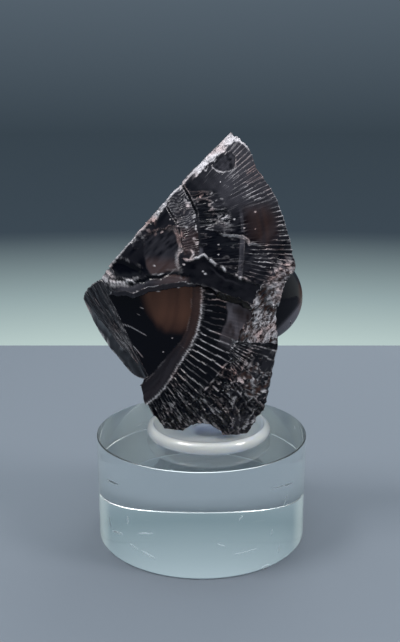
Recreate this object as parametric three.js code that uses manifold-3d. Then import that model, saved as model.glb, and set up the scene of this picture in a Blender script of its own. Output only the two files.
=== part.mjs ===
// A shungite specimen standing on its display: a black, glassy stone with
// conchoidal breaks, an opal-glass dish that cradles its feet, and a round
// clear acrylic block under both. Millimetres, +Z up, -Y towards the viewer.
// The origin is the middle of the block's underside.
//
// The stone is one solid. A rough blank with the stone's outline loses one
// cutter for each break. A cutter is a turned dish: its rings follow the
// ripples that run round the point of impact, and its columns follow the
// hackles, the fine ridges that fan out from that point.
import * as THREE from 'three';
import { mergeVertices } from 'three/addons/utils/BufferGeometryUtils.js';
import Module from 'manifold-3d';

const wasm = await Module();
wasm.setup();

// ---------------------------------------------------------------- display

const BLOCK_DIAMETER = 50;
const BLOCK_HEIGHT = 25;
const BLOCK_EDGE = 0.35; // polished chamfer at both rims

const SEAT_GAP = 0.3; // clearance between pieces that rest on each other

const DISH_CENTRE = [1.7, -2.5];
const DISH_RADIUS = 14.6;
const DISH_FLOOR = 0.7; // glass under the hollow
const DISH_LIP = 2.7; // height of the rounded lip
const BOSS_RADIUS = 3.8; // low dome in the middle of the hollow
const BOSS_HEIGHT = 2.2;

// ---------------------------------------------------------------- stone

// Rim of the stone where its front meets its sides: x, z, and the depth y of
// the rim there, clockwise from the apex as seen from the front.
const RIM = [
  [6.6, 94.9, -3.4], [8.3, 93.6, -4], [9.8, 92.2, -4.6], [11.9, 86.9, -6.4], [14.9, 83, -7.6],
  [17.2, 77.8, -9], [18.9, 72.3, -10.3], [19.6, 68.6, -11], [20.9, 66, -11.4], [18.6, 63.3, -10.5],
  [17.6, 59.8, -9], [16.8, 56.5, -8], [16.7, 53, -7], [17.3, 49.8, -6], [18.1, 47.6, -5],
  [17.5, 44.9, -4], [16.5, 41, -4], [16.2, 36.6, -4], [15.3, 32.7, -4], [13.9, 30, -5],
  [12, 27.6, -7], [10.5, 24, -8], [-5, 24, -6.5], [-8.9, 28.8, -6.3], [-11, 32, -6.4],
  [-13.2, 35.4, -6.5], [-14, 38, -7], [-15, 39.1, -5.5], [-16.5, 40.3, -2], [-21.5, 44.5, 3],
  [-24.6, 48.8, 5], [-27, 53.6, 5], [-28, 56.5, 5], [-27.6, 58.2, 3], [-26.4, 59.8, 0],
  [-24.9, 61.6, -4],
  [-23.1, 63.1, -7.6], [-17.8, 69, -7.7], [-11, 76.7, -7.3], [-4.9, 83.5, -6.3], [2.5, 91.1, -4.6],
];
const RIM_CENTRE = [0, 58]; // the sides draw in towards this line as they run back
const RIM_STEP = 1.6; // spacing of the points between the corners of the rim
const RIM_CHIPPING = 0.22;
const RIDGE_CHIPPING = 0.07; // on the straight upper left edge
const SIDE_DRAFT = 0.03; // share of the way to the centre line, for each millimetre of depth
const BLANK_FRONT = -15;
const BLANK_BACK = 14;

// Breaks. at is the point of impact and out the outward normal there. toward
// is the middle of the fan, and crowd packs the columns around it. bend is the
// radius of the bulge, below zero for a hollow. ribs are [radius, width, rise].
const BREAKS = {
  upper: {
    at: [-11.2, -8.6, 71], out: [-0.16, -0.95, 0.2], toward: [1, 0, 0.1], bend: 150,
    reach: 44, rings: 16, columns: 68, crowd: 0.68,
    ribs: [[12.5, 0.6, -0.55], [22.4, 0.7, 0.4]],
    hackle: { from: 22.5, full: 27, height: 0.15 },
  },
  lower: {
    at: [-24.4, -6.3, 61.5], out: [-0.15, -0.985, -0.02], toward: [1, 0, -0.75], bend: 600,
    reach: 60, rings: 20, columns: 68, crowd: 0.72,
    ribs: [[26.2, 0.6, 0.5], [36.8, 0.8, 0.55]],
    hackle: { from: 26, full: 28.5, height: 0.24 },
  },
  rightNotch: {
    at: [17, -6.8, 53], out: [0.38, -0.89, -0.25], toward: [-1, 0, -1], bend: -80,
    reach: 18, rings: 9, columns: 24,
    grit: { from: 1, full: 4, height: 0.7 },
  },
  rightFoot: {
    at: [0, -13.6, 53], out: [0.45, -0.89, -0.05], toward: [0.7, 0, -1], bend: 1000,
    reach: 36, rings: 10, columns: 44, crowd: 0.7,
    hackle: { from: 2, full: 8, height: 0.3 },
    grit: { from: 2, full: 8, height: 0.5 },
  },
  leftFacet: {
    at: [-11.8, -7.1, 39.5], out: [-0.745, -0.56, -0.36], toward: [-0.5, 0.1, 1], bend: 700,
    reach: 40, rings: 6, columns: 32, crowd: 0.8,
    hackle: { from: 4, full: 12, height: 0.22 },
  },
  rightSide: {
    at: [15.6, -5.5, 40], out: [0.9, -0.38, -0.15], toward: [0, 0, 1], bend: -150,
    reach: 14, rings: 6, columns: 24,
  },
  corner: {
    at: [-23.2, -5.9, 61.6], out: [-0.62, -0.72, 0.2], toward: [0, 0, 1], bend: 300,
    reach: 5.5, rings: 6, columns: 20,
    grit: { from: 0, full: 1, height: 0.5 },
  },
  upperLeftBack: {
    at: [-3, -4.4, 85.2], out: [-0.65, 0.54, 0.54], toward: [-0.6, 0.6, -0.6], bend: -100,
    reach: 31, rings: 12, columns: 32, crowd: 0.6,
    ribs: [[12, 1.3, 0.3], [19, 1.3, 0.3]],
  },
  upperRightBack: {
    at: [17, -6.6, 78], out: [0.75, 0.55, 0.22], toward: [0, 0.4, 1], bend: 90,
    reach: 45, rings: 14, columns: 36,
    hackle: { from: 10, full: 16, height: 0.2 },
  },
  lowerLeftBack: {
    at: [-24, 8, 52], out: [-0.52, 0.75, -0.4], toward: [0.7, 0.2, -0.6], bend: 140,
    reach: 60, rings: 14, columns: 30,
    ribs: [[11, 1.2, 0.35], [17, 1.2, 0.4]],
  },
  lowerBack: {
    at: [2, 4, 30], out: [0.1, 0.84, -0.53], toward: [0, 0.5, 1], bend: -90,
    reach: 60, rings: 10, columns: 24,
    hackle: { from: 8, full: 20, height: 0.3 },
  },
  back: {
    at: [4, 5, 86], out: [0.04, 0.98, 0.14], toward: [0, 0, -1], bend: -200,
    reach: 75, rings: 16, columns: 40, crowd: 0.6,
    ribs: [[14, 1.4, 0.4], [21, 1.4, 0.4], [29, 1.4, 0.5], [38, 1.6, 0.5]],
    hackle: { from: 30, full: 40, height: 0.25 },
  },
};

// Where the upper break overhangs the lower one: x and z of the step's edge.
const STEP_LINE = [
  [-60, 60.5], [-24, 60.3], [-19, 60.6], [-14.5, 60.4], [-11.5, 61.8], [-8, 62.6], [-4.5, 63.4],
  [-1, 63.3], [1.5, 62.7], [5, 61.4], [9.5, 59.7], [12.5, 57.6], [15, 55.5], [60, 50],
];
const STEP_LEAN = 0.75; // how far the step's face drops for each millimetre of depth

// Shallow flake scars on the front: x, z, radius and depth of each.
const SCARS = [
  [-8.3, 70, 4.5, 0.7], // round patch beside the point of impact
  [-16.8, 65.1, 3.6, 0.9], // dark facet near the left corner
  [3.6, 89.6, 3, 0.6], // half-moon chip below the apex
  [-0.6, 86.6, 0.9, 0.3],
  [-13, 74, 1.6, 0.5],
];

// Smooth swellings of the back: centre and radii. The first one shows as a
// dark lobe behind the right edge.
const SWELLINGS = [
  [[11, 5, 59], [13.1, 9, 14]],
  [[5, -1, 60], [11.8, 9, 16]],
];

// Ledges that end a break: the x and z of a point on the ledge, its turn from
// level, and the side of it that the break stays clear of.
const LEFT_LEDGE = { x: -12.4, z: 40.6, turn: -0.72, side: -1 };
const RIGHT_LEDGE = { x: 13, z: 48.6, turn: 0.2, side: 1 };

const FEET_BOTTOM = 27.1; // underside at x = 0
const FEET_TILT = 0.07; // the left foot stands this much higher, for each millimetre of x
const ARCH = { x: 0.2, z: 24.1, radius: 4.9 }; // hollow between the two feet

// ---------------------------------------------------------------- helpers

// A repeatable number from 0 to 1 for each n.
function chance(n) {
  const s = Math.sin(n * 12.9898 + 4.1414) * 43758.5453;
  return s - Math.floor(s);
}

function smoothstep(low, high, value) {
  const t = Math.min(1, Math.max(0, (value - low) / (high - low)));
  return t * t * (3 - 2 * t);
}

// Turns a closed three.js geometry into a manifold-3d solid.
function solid(geometry) {
  const bare = geometry.clone();
  bare.deleteAttribute('normal');
  bare.deleteAttribute('uv');
  const merged = mergeVertices(bare, 1e-4);
  return new wasm.Manifold(new wasm.Mesh({
    numProp: 3,
    vertProperties: new Float32Array(merged.attributes.position.array),
    triVerts: new Uint32Array(merged.index.array),
  }));
}

// Turns a manifold-3d solid back into a faceted three.js geometry.
function geometryOf(made) {
  const mesh = made.getMesh();
  const geometry = new THREE.BufferGeometry();
  geometry.setAttribute('position', new THREE.BufferAttribute(mesh.vertProperties, 3));
  geometry.setIndex(new THREE.BufferAttribute(mesh.triVerts, 1));
  const facets = geometry.toNonIndexed();
  facets.computeVertexNormals();
  return facets;
}

// ---------------------------------------------------------------- breaks

// Height of a break's surface over its plane, at distance r from the point of
// impact and on column c of its fan. Positive is away from the stone.
function breakHeight(spec, r, c) {
  let height = -(r * r) / (2 * spec.bend);
  if (spec.rim) height += spec.rim.rise * (r / spec.rim.radius) ** 4;
  if (spec.sway) {
    const turn = (2 * Math.PI * c) / spec.columns;
    const { waves, rise, phase } = spec.sway;
    height += rise * (r / spec.reach) ** 2 * Math.cos(waves * turn + phase);
  }
  for (const [at, width, rise] of spec.ribs ?? []) {
    height += rise * Math.exp(-(((r - at) / width) ** 2));
  }
  if (spec.hackle) {
    const side = c % 2 === 0 ? 1 : -1;
    const strength = smoothstep(spec.hackle.from, spec.hackle.full, r);
    height += side * spec.hackle.height * (0.4 + chance(c)) * strength;
  }
  if (spec.grit) {
    const strength = smoothstep(spec.grit.from, spec.grit.full, r);
    height += (chance(c * 31 + Math.round(r * 10)) - 0.5) * spec.grit.height * strength;
  }
  return height;
}

// The cutter of one break: a turned dish whose floor is the break, and which
// fills everything outside it.
function breakCutter(spec) {
  const wall = 60;
  const radii = (spec.ribs ?? []).map(([at]) => at);
  for (let i = 1; i <= spec.rings; i += 1) radii.push((spec.reach * i) / spec.rings);
  radii.sort((p, q) => p - q);
  const profile = [0, ...radii, spec.reach, 0].map((r) => new THREE.Vector2(r, 0));
  const dish = new THREE.LatheGeometry(profile, spec.columns);

  const out = new THREE.Vector3(...spec.out).normalize();
  const along = new THREE.Vector3(...spec.toward);
  along.addScaledVector(out, -along.dot(out)).normalize();
  const across = new THREE.Vector3().crossVectors(out, along);
  const position = dish.attributes.position;
  const point = new THREE.Vector3();
  for (let i = 0; i < position.count; i += 1) {
    const ring = i % profile.length;
    const column = Math.floor(i / profile.length) % spec.columns;
    const r = profile[ring].x;
    const even = (2 * Math.PI * column) / spec.columns;
    const angle = even - (spec.crowd ?? 0) * Math.sin(even);
    const height = ring > radii.length ? wall : breakHeight(spec, r, r === 0 ? 0 : column);
    point.set(...spec.at)
      .addScaledVector(along, r * Math.cos(angle))
      .addScaledVector(across, r * Math.sin(angle))
      .addScaledVector(out, height);
    position.setXYZ(i, point.x, point.y, point.z);
  }
  return solid(dish);
}

// Depth y of the upper break's smooth surface over the point x, z.
function upperDepth(x, z) {
  const { at, out, bend } = BREAKS.upper;
  const dx = x - at[0];
  const dz = z - at[2];
  return at[1] - (out[0] * dx + out[2] * dz + (dx * dx + dz * dz) / (2 * bend)) / out[1];
}

// ---------------------------------------------------------------- stone

// The rim with points added between its corners, each nudged a little.
function chippedRim() {
  const points = [];
  RIM.forEach((from, i) => {
    const to = RIM[(i + 1) % RIM.length];
    const length = Math.hypot(to[0] - from[0], to[1] - from[1]);
    const steps = Math.max(1, Math.round(length / RIM_STEP));
    for (let s = 0; s < steps; s += 1) {
      const t = s / steps;
      const chipping = from[0] < 4 && from[1] > 62 ? RIDGE_CHIPPING : RIM_CHIPPING;
      const nudge = s === 0 ? 0 : (chance(i * 17 + s * 3) - 0.5) * 2 * chipping;
      points.push([
        from[0] + (to[0] - from[0]) * t + nudge,
        from[1] + (to[1] - from[1]) * t - nudge,
        from[2] + (to[2] - from[2]) * t,
      ]);
    }
  });
  return points;
}

// The blank: the rim's outline carried from front to back. It narrows towards
// the back and keeps its true outline where the rim lies.
function makeBlank() {
  const rim = chippedRim();
  const outline = new THREE.Shape(rim.map(([x, z]) => new THREE.Vector2(x, z)));
  const blank = new THREE.ExtrudeGeometry(outline, { depth: 1, bevelEnabled: false });
  const nearest = new Map(rim.map((p) => [`${p[0].toFixed(3)} ${p[1].toFixed(3)}`, p]));
  const position = blank.attributes.position;
  for (let i = 0; i < position.count; i += 1) {
    const x = position.getX(i);
    const z = position.getY(i);
    const depth = nearest.get(`${x.toFixed(3)} ${z.toFixed(3)}`)[2];
    const y = position.getZ(i) > 0.5 ? BLANK_FRONT : BLANK_BACK;
    const draw = 1 - SIDE_DRAFT * (y - depth);
    position.setXYZ(
      i,
      RIM_CENTRE[0] + (x - RIM_CENTRE[0]) * draw,
      y,
      RIM_CENTRE[1] + (z - RIM_CENTRE[1]) * draw,
    );
  }
  return solid(blank);
}

// Everything above the step line, down to a face that leans out below it.
function makeOverhang() {
  const outline = new THREE.Shape(STEP_LINE.map(([x, z]) => new THREE.Vector2(x, z)));
  outline.lineTo(60, 120);
  outline.lineTo(-60, 120);
  const block = new THREE.ExtrudeGeometry(outline, { depth: 1, bevelEnabled: false });
  const position = block.attributes.position;
  for (let i = 0; i < position.count; i += 1) {
    const x = position.getX(i);
    const z = position.getY(i);
    const y = position.getZ(i) > 0.5 ? -60 : 60;
    const drop = (y - upperDepth(Math.max(-24, Math.min(16, x)), 62)) * STEP_LEAN;
    position.setXYZ(i, x, y, z - (z < 100 ? drop : 0));
  }
  return solid(block);
}

// A shallow scar: a small hollow break sunk into the upper one.
function makeScar([x, z, radius, depth]) {
  const { out } = BREAKS.upper;
  const floor = new THREE.Vector3(x, upperDepth(x, z), z)
    .addScaledVector(new THREE.Vector3(...out).normalize(), -depth);
  return breakCutter({
    at: floor.toArray(), out, toward: [1, 0, 0], bend: -(radius * radius) / depth,
    reach: radius * 1.3, rings: 6, columns: 24,
    sway: { waves: 3, rise: depth * 0.5, phase: x },
    rim: { radius, rise: depth * 0.5 },
  });
}

// Everything on one side of a ledge.
function beyondLedge({ x, z, turn, side }) {
  const beyond = new THREE.BoxGeometry(60, 60, 40).translate(0, 0, side * 20);
  return solid(beyond.rotateY(turn).translate(x, 0, z));
}

function makeStone() {
  const front = ['upper', 'lower', 'leftFacet', 'rightNotch', 'rightFoot', 'rightSide', 'corner'];
  let stone = makeBlank();
  for (const name of ['upperLeftBack', 'upperRightBack']) {
    stone = stone.subtract(breakCutter(BREAKS[name]));
  }
  for (const [centre, radii] of SWELLINGS) {
    const swelling = new THREE.SphereGeometry(1, 24, 14).scale(...radii).translate(...centre);
    stone = stone.add(solid(swelling));
  }
  for (const name of ['lowerLeftBack', 'lowerBack', 'back']) {
    stone = stone.subtract(breakCutter(BREAKS[name]));
  }
  for (const name of front) {
    let cutter = breakCutter(BREAKS[name]);
    if (name === 'lower') cutter = cutter.subtract(makeOverhang());
    if (name === 'leftFacet') cutter = cutter.subtract(beyondLedge(LEFT_LEDGE));
    if (name === 'rightFoot') cutter = cutter.subtract(beyondLedge(RIGHT_LEDGE));
    stone = stone.subtract(cutter);
  }
  for (const scar of SCARS) stone = stone.subtract(makeScar(scar));
  const under = new THREE.BoxGeometry(80, 80, 20).translate(0, 0, -10);
  under.rotateY(FEET_TILT).translate(0, 0, FEET_BOTTOM);
  const arch = new THREE.CylinderGeometry(ARCH.radius, ARCH.radius * 1.2, 60, 20)
    .translate(ARCH.x, 0, ARCH.z);
  return stone.subtract(solid(under)).subtract(solid(arch));
}

// ---------------------------------------------------------------- display

function makeBlock() {
  const radius = BLOCK_DIAMETER / 2;
  const profile = [
    [0, 0], [radius - BLOCK_EDGE, 0], [radius, BLOCK_EDGE],
    [radius, BLOCK_HEIGHT - BLOCK_EDGE], [radius - BLOCK_EDGE, BLOCK_HEIGHT], [0, BLOCK_HEIGHT],
  ].map(([r, z]) => new THREE.Vector2(r, z));
  return new THREE.LatheGeometry(profile, 60).rotateX(Math.PI / 2);
}

function makeDish() {
  const lip = DISH_LIP / 2;
  const side = new THREE.Path();
  side.moveTo(0, 0);
  side.lineTo(DISH_RADIUS - lip, 0);
  side.absarc(DISH_RADIUS - lip, lip, lip, -Math.PI / 2, Math.PI / 2, false);
  side.quadraticCurveTo(DISH_RADIUS - 2, DISH_FLOOR, DISH_RADIUS - 4, DISH_FLOOR);
  side.lineTo(BOSS_RADIUS + 1.2, DISH_FLOOR);
  side.quadraticCurveTo(BOSS_RADIUS, DISH_FLOOR, BOSS_RADIUS * 0.8, (BOSS_HEIGHT + DISH_FLOOR) / 2);
  side.quadraticCurveTo(BOSS_RADIUS * 0.5, BOSS_HEIGHT, 0, BOSS_HEIGHT);
  return new THREE.LatheGeometry(side.getPoints(4), 36).rotateX(Math.PI / 2)
    .translate(DISH_CENTRE[0], DISH_CENTRE[1], BLOCK_HEIGHT + SEAT_GAP);
}

// ---------------------------------------------------------------- specimen

const blackGlass = new THREE.MeshStandardMaterial({ color: 0x0b0a0d, roughness: 0.12, metalness: 0 });
const opalGlass = new THREE.MeshStandardMaterial({ color: 0xdde6f2, roughness: 0.1, metalness: 0 });
const clearAcrylic = new THREE.MeshStandardMaterial({
  color: 0xeaf2f5, roughness: 0.03, metalness: 0, transparent: true, opacity: 0.3,
});

function named(name, geometry, material) {
  const mesh = new THREE.Mesh(geometry, material);
  mesh.name = name;
  return mesh;
}

const specimen = new THREE.Group();
specimen.add(named('acrylic_block', makeBlock(), clearAcrylic));
specimen.add(named('opal_glass_dish', makeDish(), opalGlass));
specimen.add(named('shungite_stone', geometryOf(makeStone()), blackGlass));

export default specimen;
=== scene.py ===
"""A shungite specimen on its display: a black, glassy stone, an opal-glass dish
and a round clear acrylic block. Sizes are in millimetres until a piece is done."""
import math
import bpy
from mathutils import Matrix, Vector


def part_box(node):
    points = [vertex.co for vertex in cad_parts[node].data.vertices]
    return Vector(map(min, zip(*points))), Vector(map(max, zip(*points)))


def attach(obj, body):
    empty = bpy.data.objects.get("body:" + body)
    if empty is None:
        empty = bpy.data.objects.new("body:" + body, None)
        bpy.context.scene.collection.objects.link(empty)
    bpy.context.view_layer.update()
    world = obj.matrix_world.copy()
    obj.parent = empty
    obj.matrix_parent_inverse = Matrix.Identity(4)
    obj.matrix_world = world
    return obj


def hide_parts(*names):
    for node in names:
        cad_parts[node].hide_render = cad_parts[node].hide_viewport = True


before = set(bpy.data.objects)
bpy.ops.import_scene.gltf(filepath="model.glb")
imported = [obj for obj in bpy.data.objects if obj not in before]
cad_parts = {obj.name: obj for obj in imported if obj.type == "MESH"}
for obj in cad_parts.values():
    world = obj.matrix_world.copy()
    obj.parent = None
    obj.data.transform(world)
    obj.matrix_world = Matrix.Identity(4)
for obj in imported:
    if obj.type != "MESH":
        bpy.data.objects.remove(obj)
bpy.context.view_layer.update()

from types import SimpleNamespace

import bmesh
import bpy
import numpy as np
from mathutils import Matrix, Vector

bl_info = {
    "name": "Shungite specimen",
    "version": (1, 0, 0),
    "blender": (4, 5, 0),
    "location": "View3D > Sidebar > Specimen",
    "description": "Adds a shungite stone, its opal-glass dish and its acrylic block",
    "category": "Add Mesh",
}

BLOCK_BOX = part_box("acrylic_block")
DISH_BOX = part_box("opal_glass_dish")
MM = 0.001

# ------------------------------------------------------------------ stone, sizes

# Rim of the stone where its front meets its sides: x, z, and the depth y of
# the rim there, clockwise from the apex as seen from the front.
RIM = [
    (6.6, 94.9, -2.5), (8.3, 93.6, -3.5), (9.8, 92.2, -4.4), (11.9, 86.9, -6.4),
    (14.9, 83, -7.6), (17.2, 77.8, -9), (18.9, 72.3, -10.3), (19.6, 68.6, -11),
    (20.9, 66, -11.4), (18.6, 63.3, -10.5), (17.6, 59.8, -9), (16.8, 56.5, -8),
    (16.7, 53, -7), (17.3, 49.8, -6), (18.1, 47.6, -5), (17.5, 44.9, -4),
    (16.5, 41, -4), (16.2, 36.6, -4), (15.3, 32.7, -4), (13.9, 30, -5),
    (12, 27.6, -7), (10.5, 24, -8), (-5, 24, -6.5), (-8.9, 28.8, -6.3),
    (-11, 32, -6.4), (-13.2, 35.4, -6.5), (-14, 38, -7), (-14.9, 38.6, -5),
    (-15.9, 39.2, -2.6), (-17.1, 40.2, -1.5), (-21.5, 44.5, 1.8), (-24.5, 48.8, 3.3),
    (-26.9, 53.6, 3.7), (-27.9, 56.5, 3.4), (-27.4, 58.2, 1.8), (-26.4, 59.8, -0.5),
    (-24.9, 61.6, -4),
    (-23.1, 63.1, -7.6), (-17.8, 69, -7.7), (-11, 76.7, -7.3), (-4.9, 83.5, -6.3),
    (2.5, 91.1, -3.9),
]
# The x and z that the sides draw in towards, and how far apart the rim's points lie.
RIM_CENTRE = (0, 58)
RIM_STEP = 0.5
# How far chips move the rim in or out, everywhere and along the upper left edge.
RIM_CHIPPING = 0.2
RIDGE_CHIPPING = 0.1
# The sides draw in by this share a millimetre behind the rim, and waver by this share.
SIDE_DRAFT = 0.03
SIDE_ROUGHNESS = 0.006
BLANK_FRONT = -15
BLANK_BACK = 14
SIDE_STEP = 0.7

# Where the upper break overhangs the lower one: x and z of the step's edge, and
# how far its face drops for each millimetre of depth, on the left and on the right.
STEP_LINE = [
    (-60, 60.5), (-24, 60.3), (-19, 60.6), (-14.5, 60.4), (-11.5, 61.8), (-8, 62.6),
    (-4.5, 63.4), (-1, 63.3), (1.5, 62.7), (5, 61.4), (9.5, 59.7), (12.5, 57.6),
    (15, 55.5), (60, 50),
]
STEP_LEAN = 0.75
STEP_LEAN_RIGHT = 1.3
# Levels well outside the stone, which the cutters reach to.
FAR_TOP = 120
CUTTER_WALL = 60

# Smooth swellings of the back: centre and radii. The first one shows as a lobe
# behind the right edge. Below a line that rises to the right through LOBE_REFLECTION_LINE,
# an x and z, it is painted grey, a painted reflection of the floor, and rougher; it
# blushes between the two x of LOBE_BLUSH. Both fade out behind its front, between
# the two y of LOBE_FRONT.
SWELLINGS = [((11, 5, 56.5), (13, 9, 11.5)), ((5, -1, 60), (11.8, 9, 16))]
LOBE_REFLECTION_LINE = (18.9, 51.4)
LOBE_BLUSH = (22.2, 23.8)
LOBE_FRONT = (9.5, 5)

# Ledges that end a break: a point on the ledge, its turn from level, and the
# side of it that the break stays clear of.
LEFT_LEDGE = SimpleNamespace(x=-12.4, z=40.6, turn=-0.95, side=-1)
RIGHT_LEDGE = SimpleNamespace(x=13, z=48.6, turn=0.2, side=1)

# The feet: the level and tilt of their soles, and the arch between them, with its
# radius at the front and at the back.
FEET_BOTTOM = 27.2
FEET_TILT = 0.07
ARCH = SimpleNamespace(x=0.2, z=24.1, front=5.88, back=4.9)

# ------------------------------------------------------------------ settings


class StoneSettings(bpy.types.PropertyGroup):
    body_colour: bpy.props.FloatVectorProperty(
        name="Body", description="Colour of the glassy stone",
        default=(0.0013, 0.0015, 0.0034), size=3, subtype="COLOR", min=0, max=1)
    # Also the colour of painted highlights: glints on hackle crests, chips and edges.
    wear_colour: bpy.props.FloatVectorProperty(
        name="Edges", description="Colour of crushed edges and hackle crests",
        default=(0.6, 0.57, 0.6), size=3, subtype="COLOR", min=0, max=1)
    # The rosy colour of crushed edges and of painted glints.
    warm_wear_and_glint_colour: bpy.props.FloatVectorProperty(
        name="Warm edges", description="Colour of the crushed edges where they look rosy",
        default=(0.56, 0.38, 0.36), size=3, subtype="COLOR", min=0, max=1)
    # Also the grey of painted reflections, as on the lobe's lower part and on a ledge.
    haze_colour: bpy.props.FloatVectorProperty(
        name="Haze", description="Colour of the duller, finely grained bands",
        default=(0.098, 0.093, 0.112), size=3, subtype="COLOR", min=0, max=1)
    # The brown patch is a painted reflection; the same brown is laid on a few other places.
    tint_colour: bpy.props.FloatVectorProperty(
        name="Tint", description="Colour of the brown, thinly translucent patch",
        default=(0.075, 0.034, 0.023), size=3, subtype="COLOR", min=0, max=1)


class HolderSettings(bpy.types.PropertyGroup):
    block_diameter: bpy.props.FloatProperty(
        name="Block diameter", description="Diameter of the acrylic block",
        default=BLOCK_BOX[1].x - BLOCK_BOX[0].x, unit="LENGTH")
    block_height: bpy.props.FloatProperty(
        name="Block height", description="Height of the acrylic block",
        default=BLOCK_BOX[1].z - BLOCK_BOX[0].z, unit="LENGTH")
    dish_diameter: bpy.props.FloatProperty(
        name="Dish diameter", description="Diameter of the opal-glass dish",
        default=DISH_BOX[1].x - DISH_BOX[0].x, unit="LENGTH")
    opal_colour: bpy.props.FloatVectorProperty(
        name="Opal glass", description="Colour of the milky glass",
        default=(0.88, 0.94, 1.0), size=3, subtype="COLOR", min=0, max=1)
    acrylic_colour: bpy.props.FloatVectorProperty(
        name="Acrylic", description="Tint of the clear acrylic",
        default=(0.93, 0.99, 0.98), size=3, subtype="COLOR", min=0, max=1)


class StageSettings(bpy.types.PropertyGroup):
    floor_colour: bpy.props.FloatVectorProperty(
        name="Floor", description="Colour of the plain floor",
        default=(0.11, 0.127, 0.149), size=3, subtype="COLOR", min=0, max=1)
    light: bpy.props.FloatProperty(
        name="Light", description="Strength of the soft lights",
        default=1.0, min=0.0, max=5.0, subtype="FACTOR")


# ------------------------------------------------------------------ number helpers


def chance(n):
    """A repeatable number from 0 to 1 for each n."""
    s = np.sin(np.asarray(n, float) * 12.9898 + 4.1414) * 43758.5453
    return s - np.floor(s)


def ramp(low, high, value):
    """Rises softly from 0 at low to 1 at high. It falls where high is the lower one."""
    t = np.clip((value - low) / (high - low), 0, 1)
    return t * t * (3 - 2 * t)


def bell(value, width):
    """1 where value is 0, falling off on both sides over width."""
    return np.exp(-((value / width) ** 2))


def key_of(ix, iy, seed):
    """A number that differs from cell to cell of a grid, for chance."""
    return ix * 1.31 + iy * 57.17 + seed * 13.7


def noise(x, y, seed=0):
    """A repeatable soft noise from -1 to 1 over two numbers."""
    ix, iy = np.floor(x), np.floor(y)
    fx, fy = x - ix, y - iy
    fx, fy = fx * fx * (3 - 2 * fx), fy * fy * (3 - 2 * fy)

    def corner(dx, dy):
        return chance(key_of(ix + dx, iy + dy, seed))

    low = corner(0, 0) * (1 - fx) + corner(1, 0) * fx
    high = corner(0, 1) * (1 - fx) + corner(1, 1) * fx
    return 2 * (low * (1 - fy) + high * fy) - 1


def rough(x, y, seed=0, octaves=3):
    """Noise with finer noise on it."""
    parts = (noise(x * 2**k, y * 2**k, seed + k) / 2**k for k in range(octaves))
    return sum(parts) / 1.6


def line_distance(line, x, z):
    """Distance to a broken line, and the same with its sign: plus on the left of it."""
    nearest = np.full(np.shape(x), 1e9)
    signed = np.zeros(np.shape(x))
    for (x0, z0), (x1, z1) in zip(line, line[1:]):
        dx, dz = x1 - x0, z1 - z0
        t = np.clip(((x - x0) * dx + (z - z0) * dz) / (dx * dx + dz * dz), 0, 1)
        ox, oz = x - x0 - t * dx, z - z0 - t * dz
        away = np.hypot(ox, oz)
        closer = away < nearest
        signed = np.where(closer, away * np.sign(dx * oz - dz * ox), signed)
        nearest = np.where(closer, away, nearest)
    return nearest, signed


def inside(outline, x, z):
    """Distance in from the outline of a patch, below zero outside it."""
    closed = outline + outline[:1]
    away = line_distance(closed, x, z)[0]
    within = np.zeros(np.shape(x), bool)
    for (x0, z0), (x1, z1) in zip(closed, closed[1:]):
        crossing = x0 + (z - z0) * (x1 - x0) / ((z1 - z0) or 1e-9)
        within ^= ((z0 > z) != (z1 > z)) & (x < crossing)
    return np.where(within, away, -away)


def chips(x, z, size, seed):
    """Crushed glass: flat chips, each with its own tilt, and its own brightness for a painted
    glint.
    """
    u, v = x / size, z / size
    nearest = np.full(np.shape(u), 1e9)
    height, glint = np.zeros(np.shape(u)), np.zeros(np.shape(u))
    for du in (-1, 0, 1):
        for dv in (-1, 0, 1):
            cu, cv = np.floor(u) + du, np.floor(v) + dv
            key = key_of(cu, cv, seed)
            ou, ov = u - cu - chance(key), v - cv - chance(key + 0.37)
            away = np.hypot(ou, ov)
            tilted = ou * (chance(key + 2.1) - 0.5) + ov * (chance(key + 5.3) - 0.5)
            tilted = 1.6 * tilted + 0.5 * (chance(key + 7.7) - 0.5)
            closer = away < nearest
            height = np.where(closer, tilted, height)
            glint = np.where(closer, chance(key + 9.1), glint)
            nearest = np.minimum(nearest, away)
    return height, glint


def hackles(p, pitch, first, last, seed):
    """Saw-toothed ridges that fan out from the point of impact. Each one starts
    at its own distance between first and last. Gives height and broken crest lines."""
    bend = 0.3 * noise(p.r * 0.14, p.angle * 0.1, seed)
    bend = bend + 0.12 * noise(p.r * 0.6, p.angle * 0.4, seed + 1)
    place = p.angle / pitch + bend
    cell = np.floor(place)
    share = place - cell
    starts = first + (last - first) * chance(cell * 3.7 + seed)
    grown = ramp(starts, starts + 2.5, p.r)
    size = (0.3 + 0.7 * chance(cell * 1.9 + seed + 5)) * grown
    dash = ramp(-0.35, 0.35, noise(p.r * 0.42, cell * 1.7, seed + 7))
    low = 0.76 + 0.12 * chance(cell * 2.3 + seed)
    crest = ramp(low, low + 0.1, share) * size * dash
    return (share - 0.5) * size, crest


def patchy(p, seed, scale=0.9, keep=0.35):
    """Breaks a bright line into uneven dashes, from 0 to 1."""
    return ramp(-keep, 0.6, noise(p.x * scale, p.z * scale, seed))


# ------------------------------------------------------------------ breaks

# Each surface function gives the height of a break over its plane at each
# place p: r and angle round the point of impact, x and z on the stone. Height
# is positive away from the stone. It also gives wear (crushed white edges, and
# painted highlights where crests and chips glint), haze (finely grained, duller
# glass, and in places a painted grey reflection) and tint (the brown patch, a
# painted reflection), 0 to 1. The two large breaks are built up feature by
# feature, on one surface s.

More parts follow.
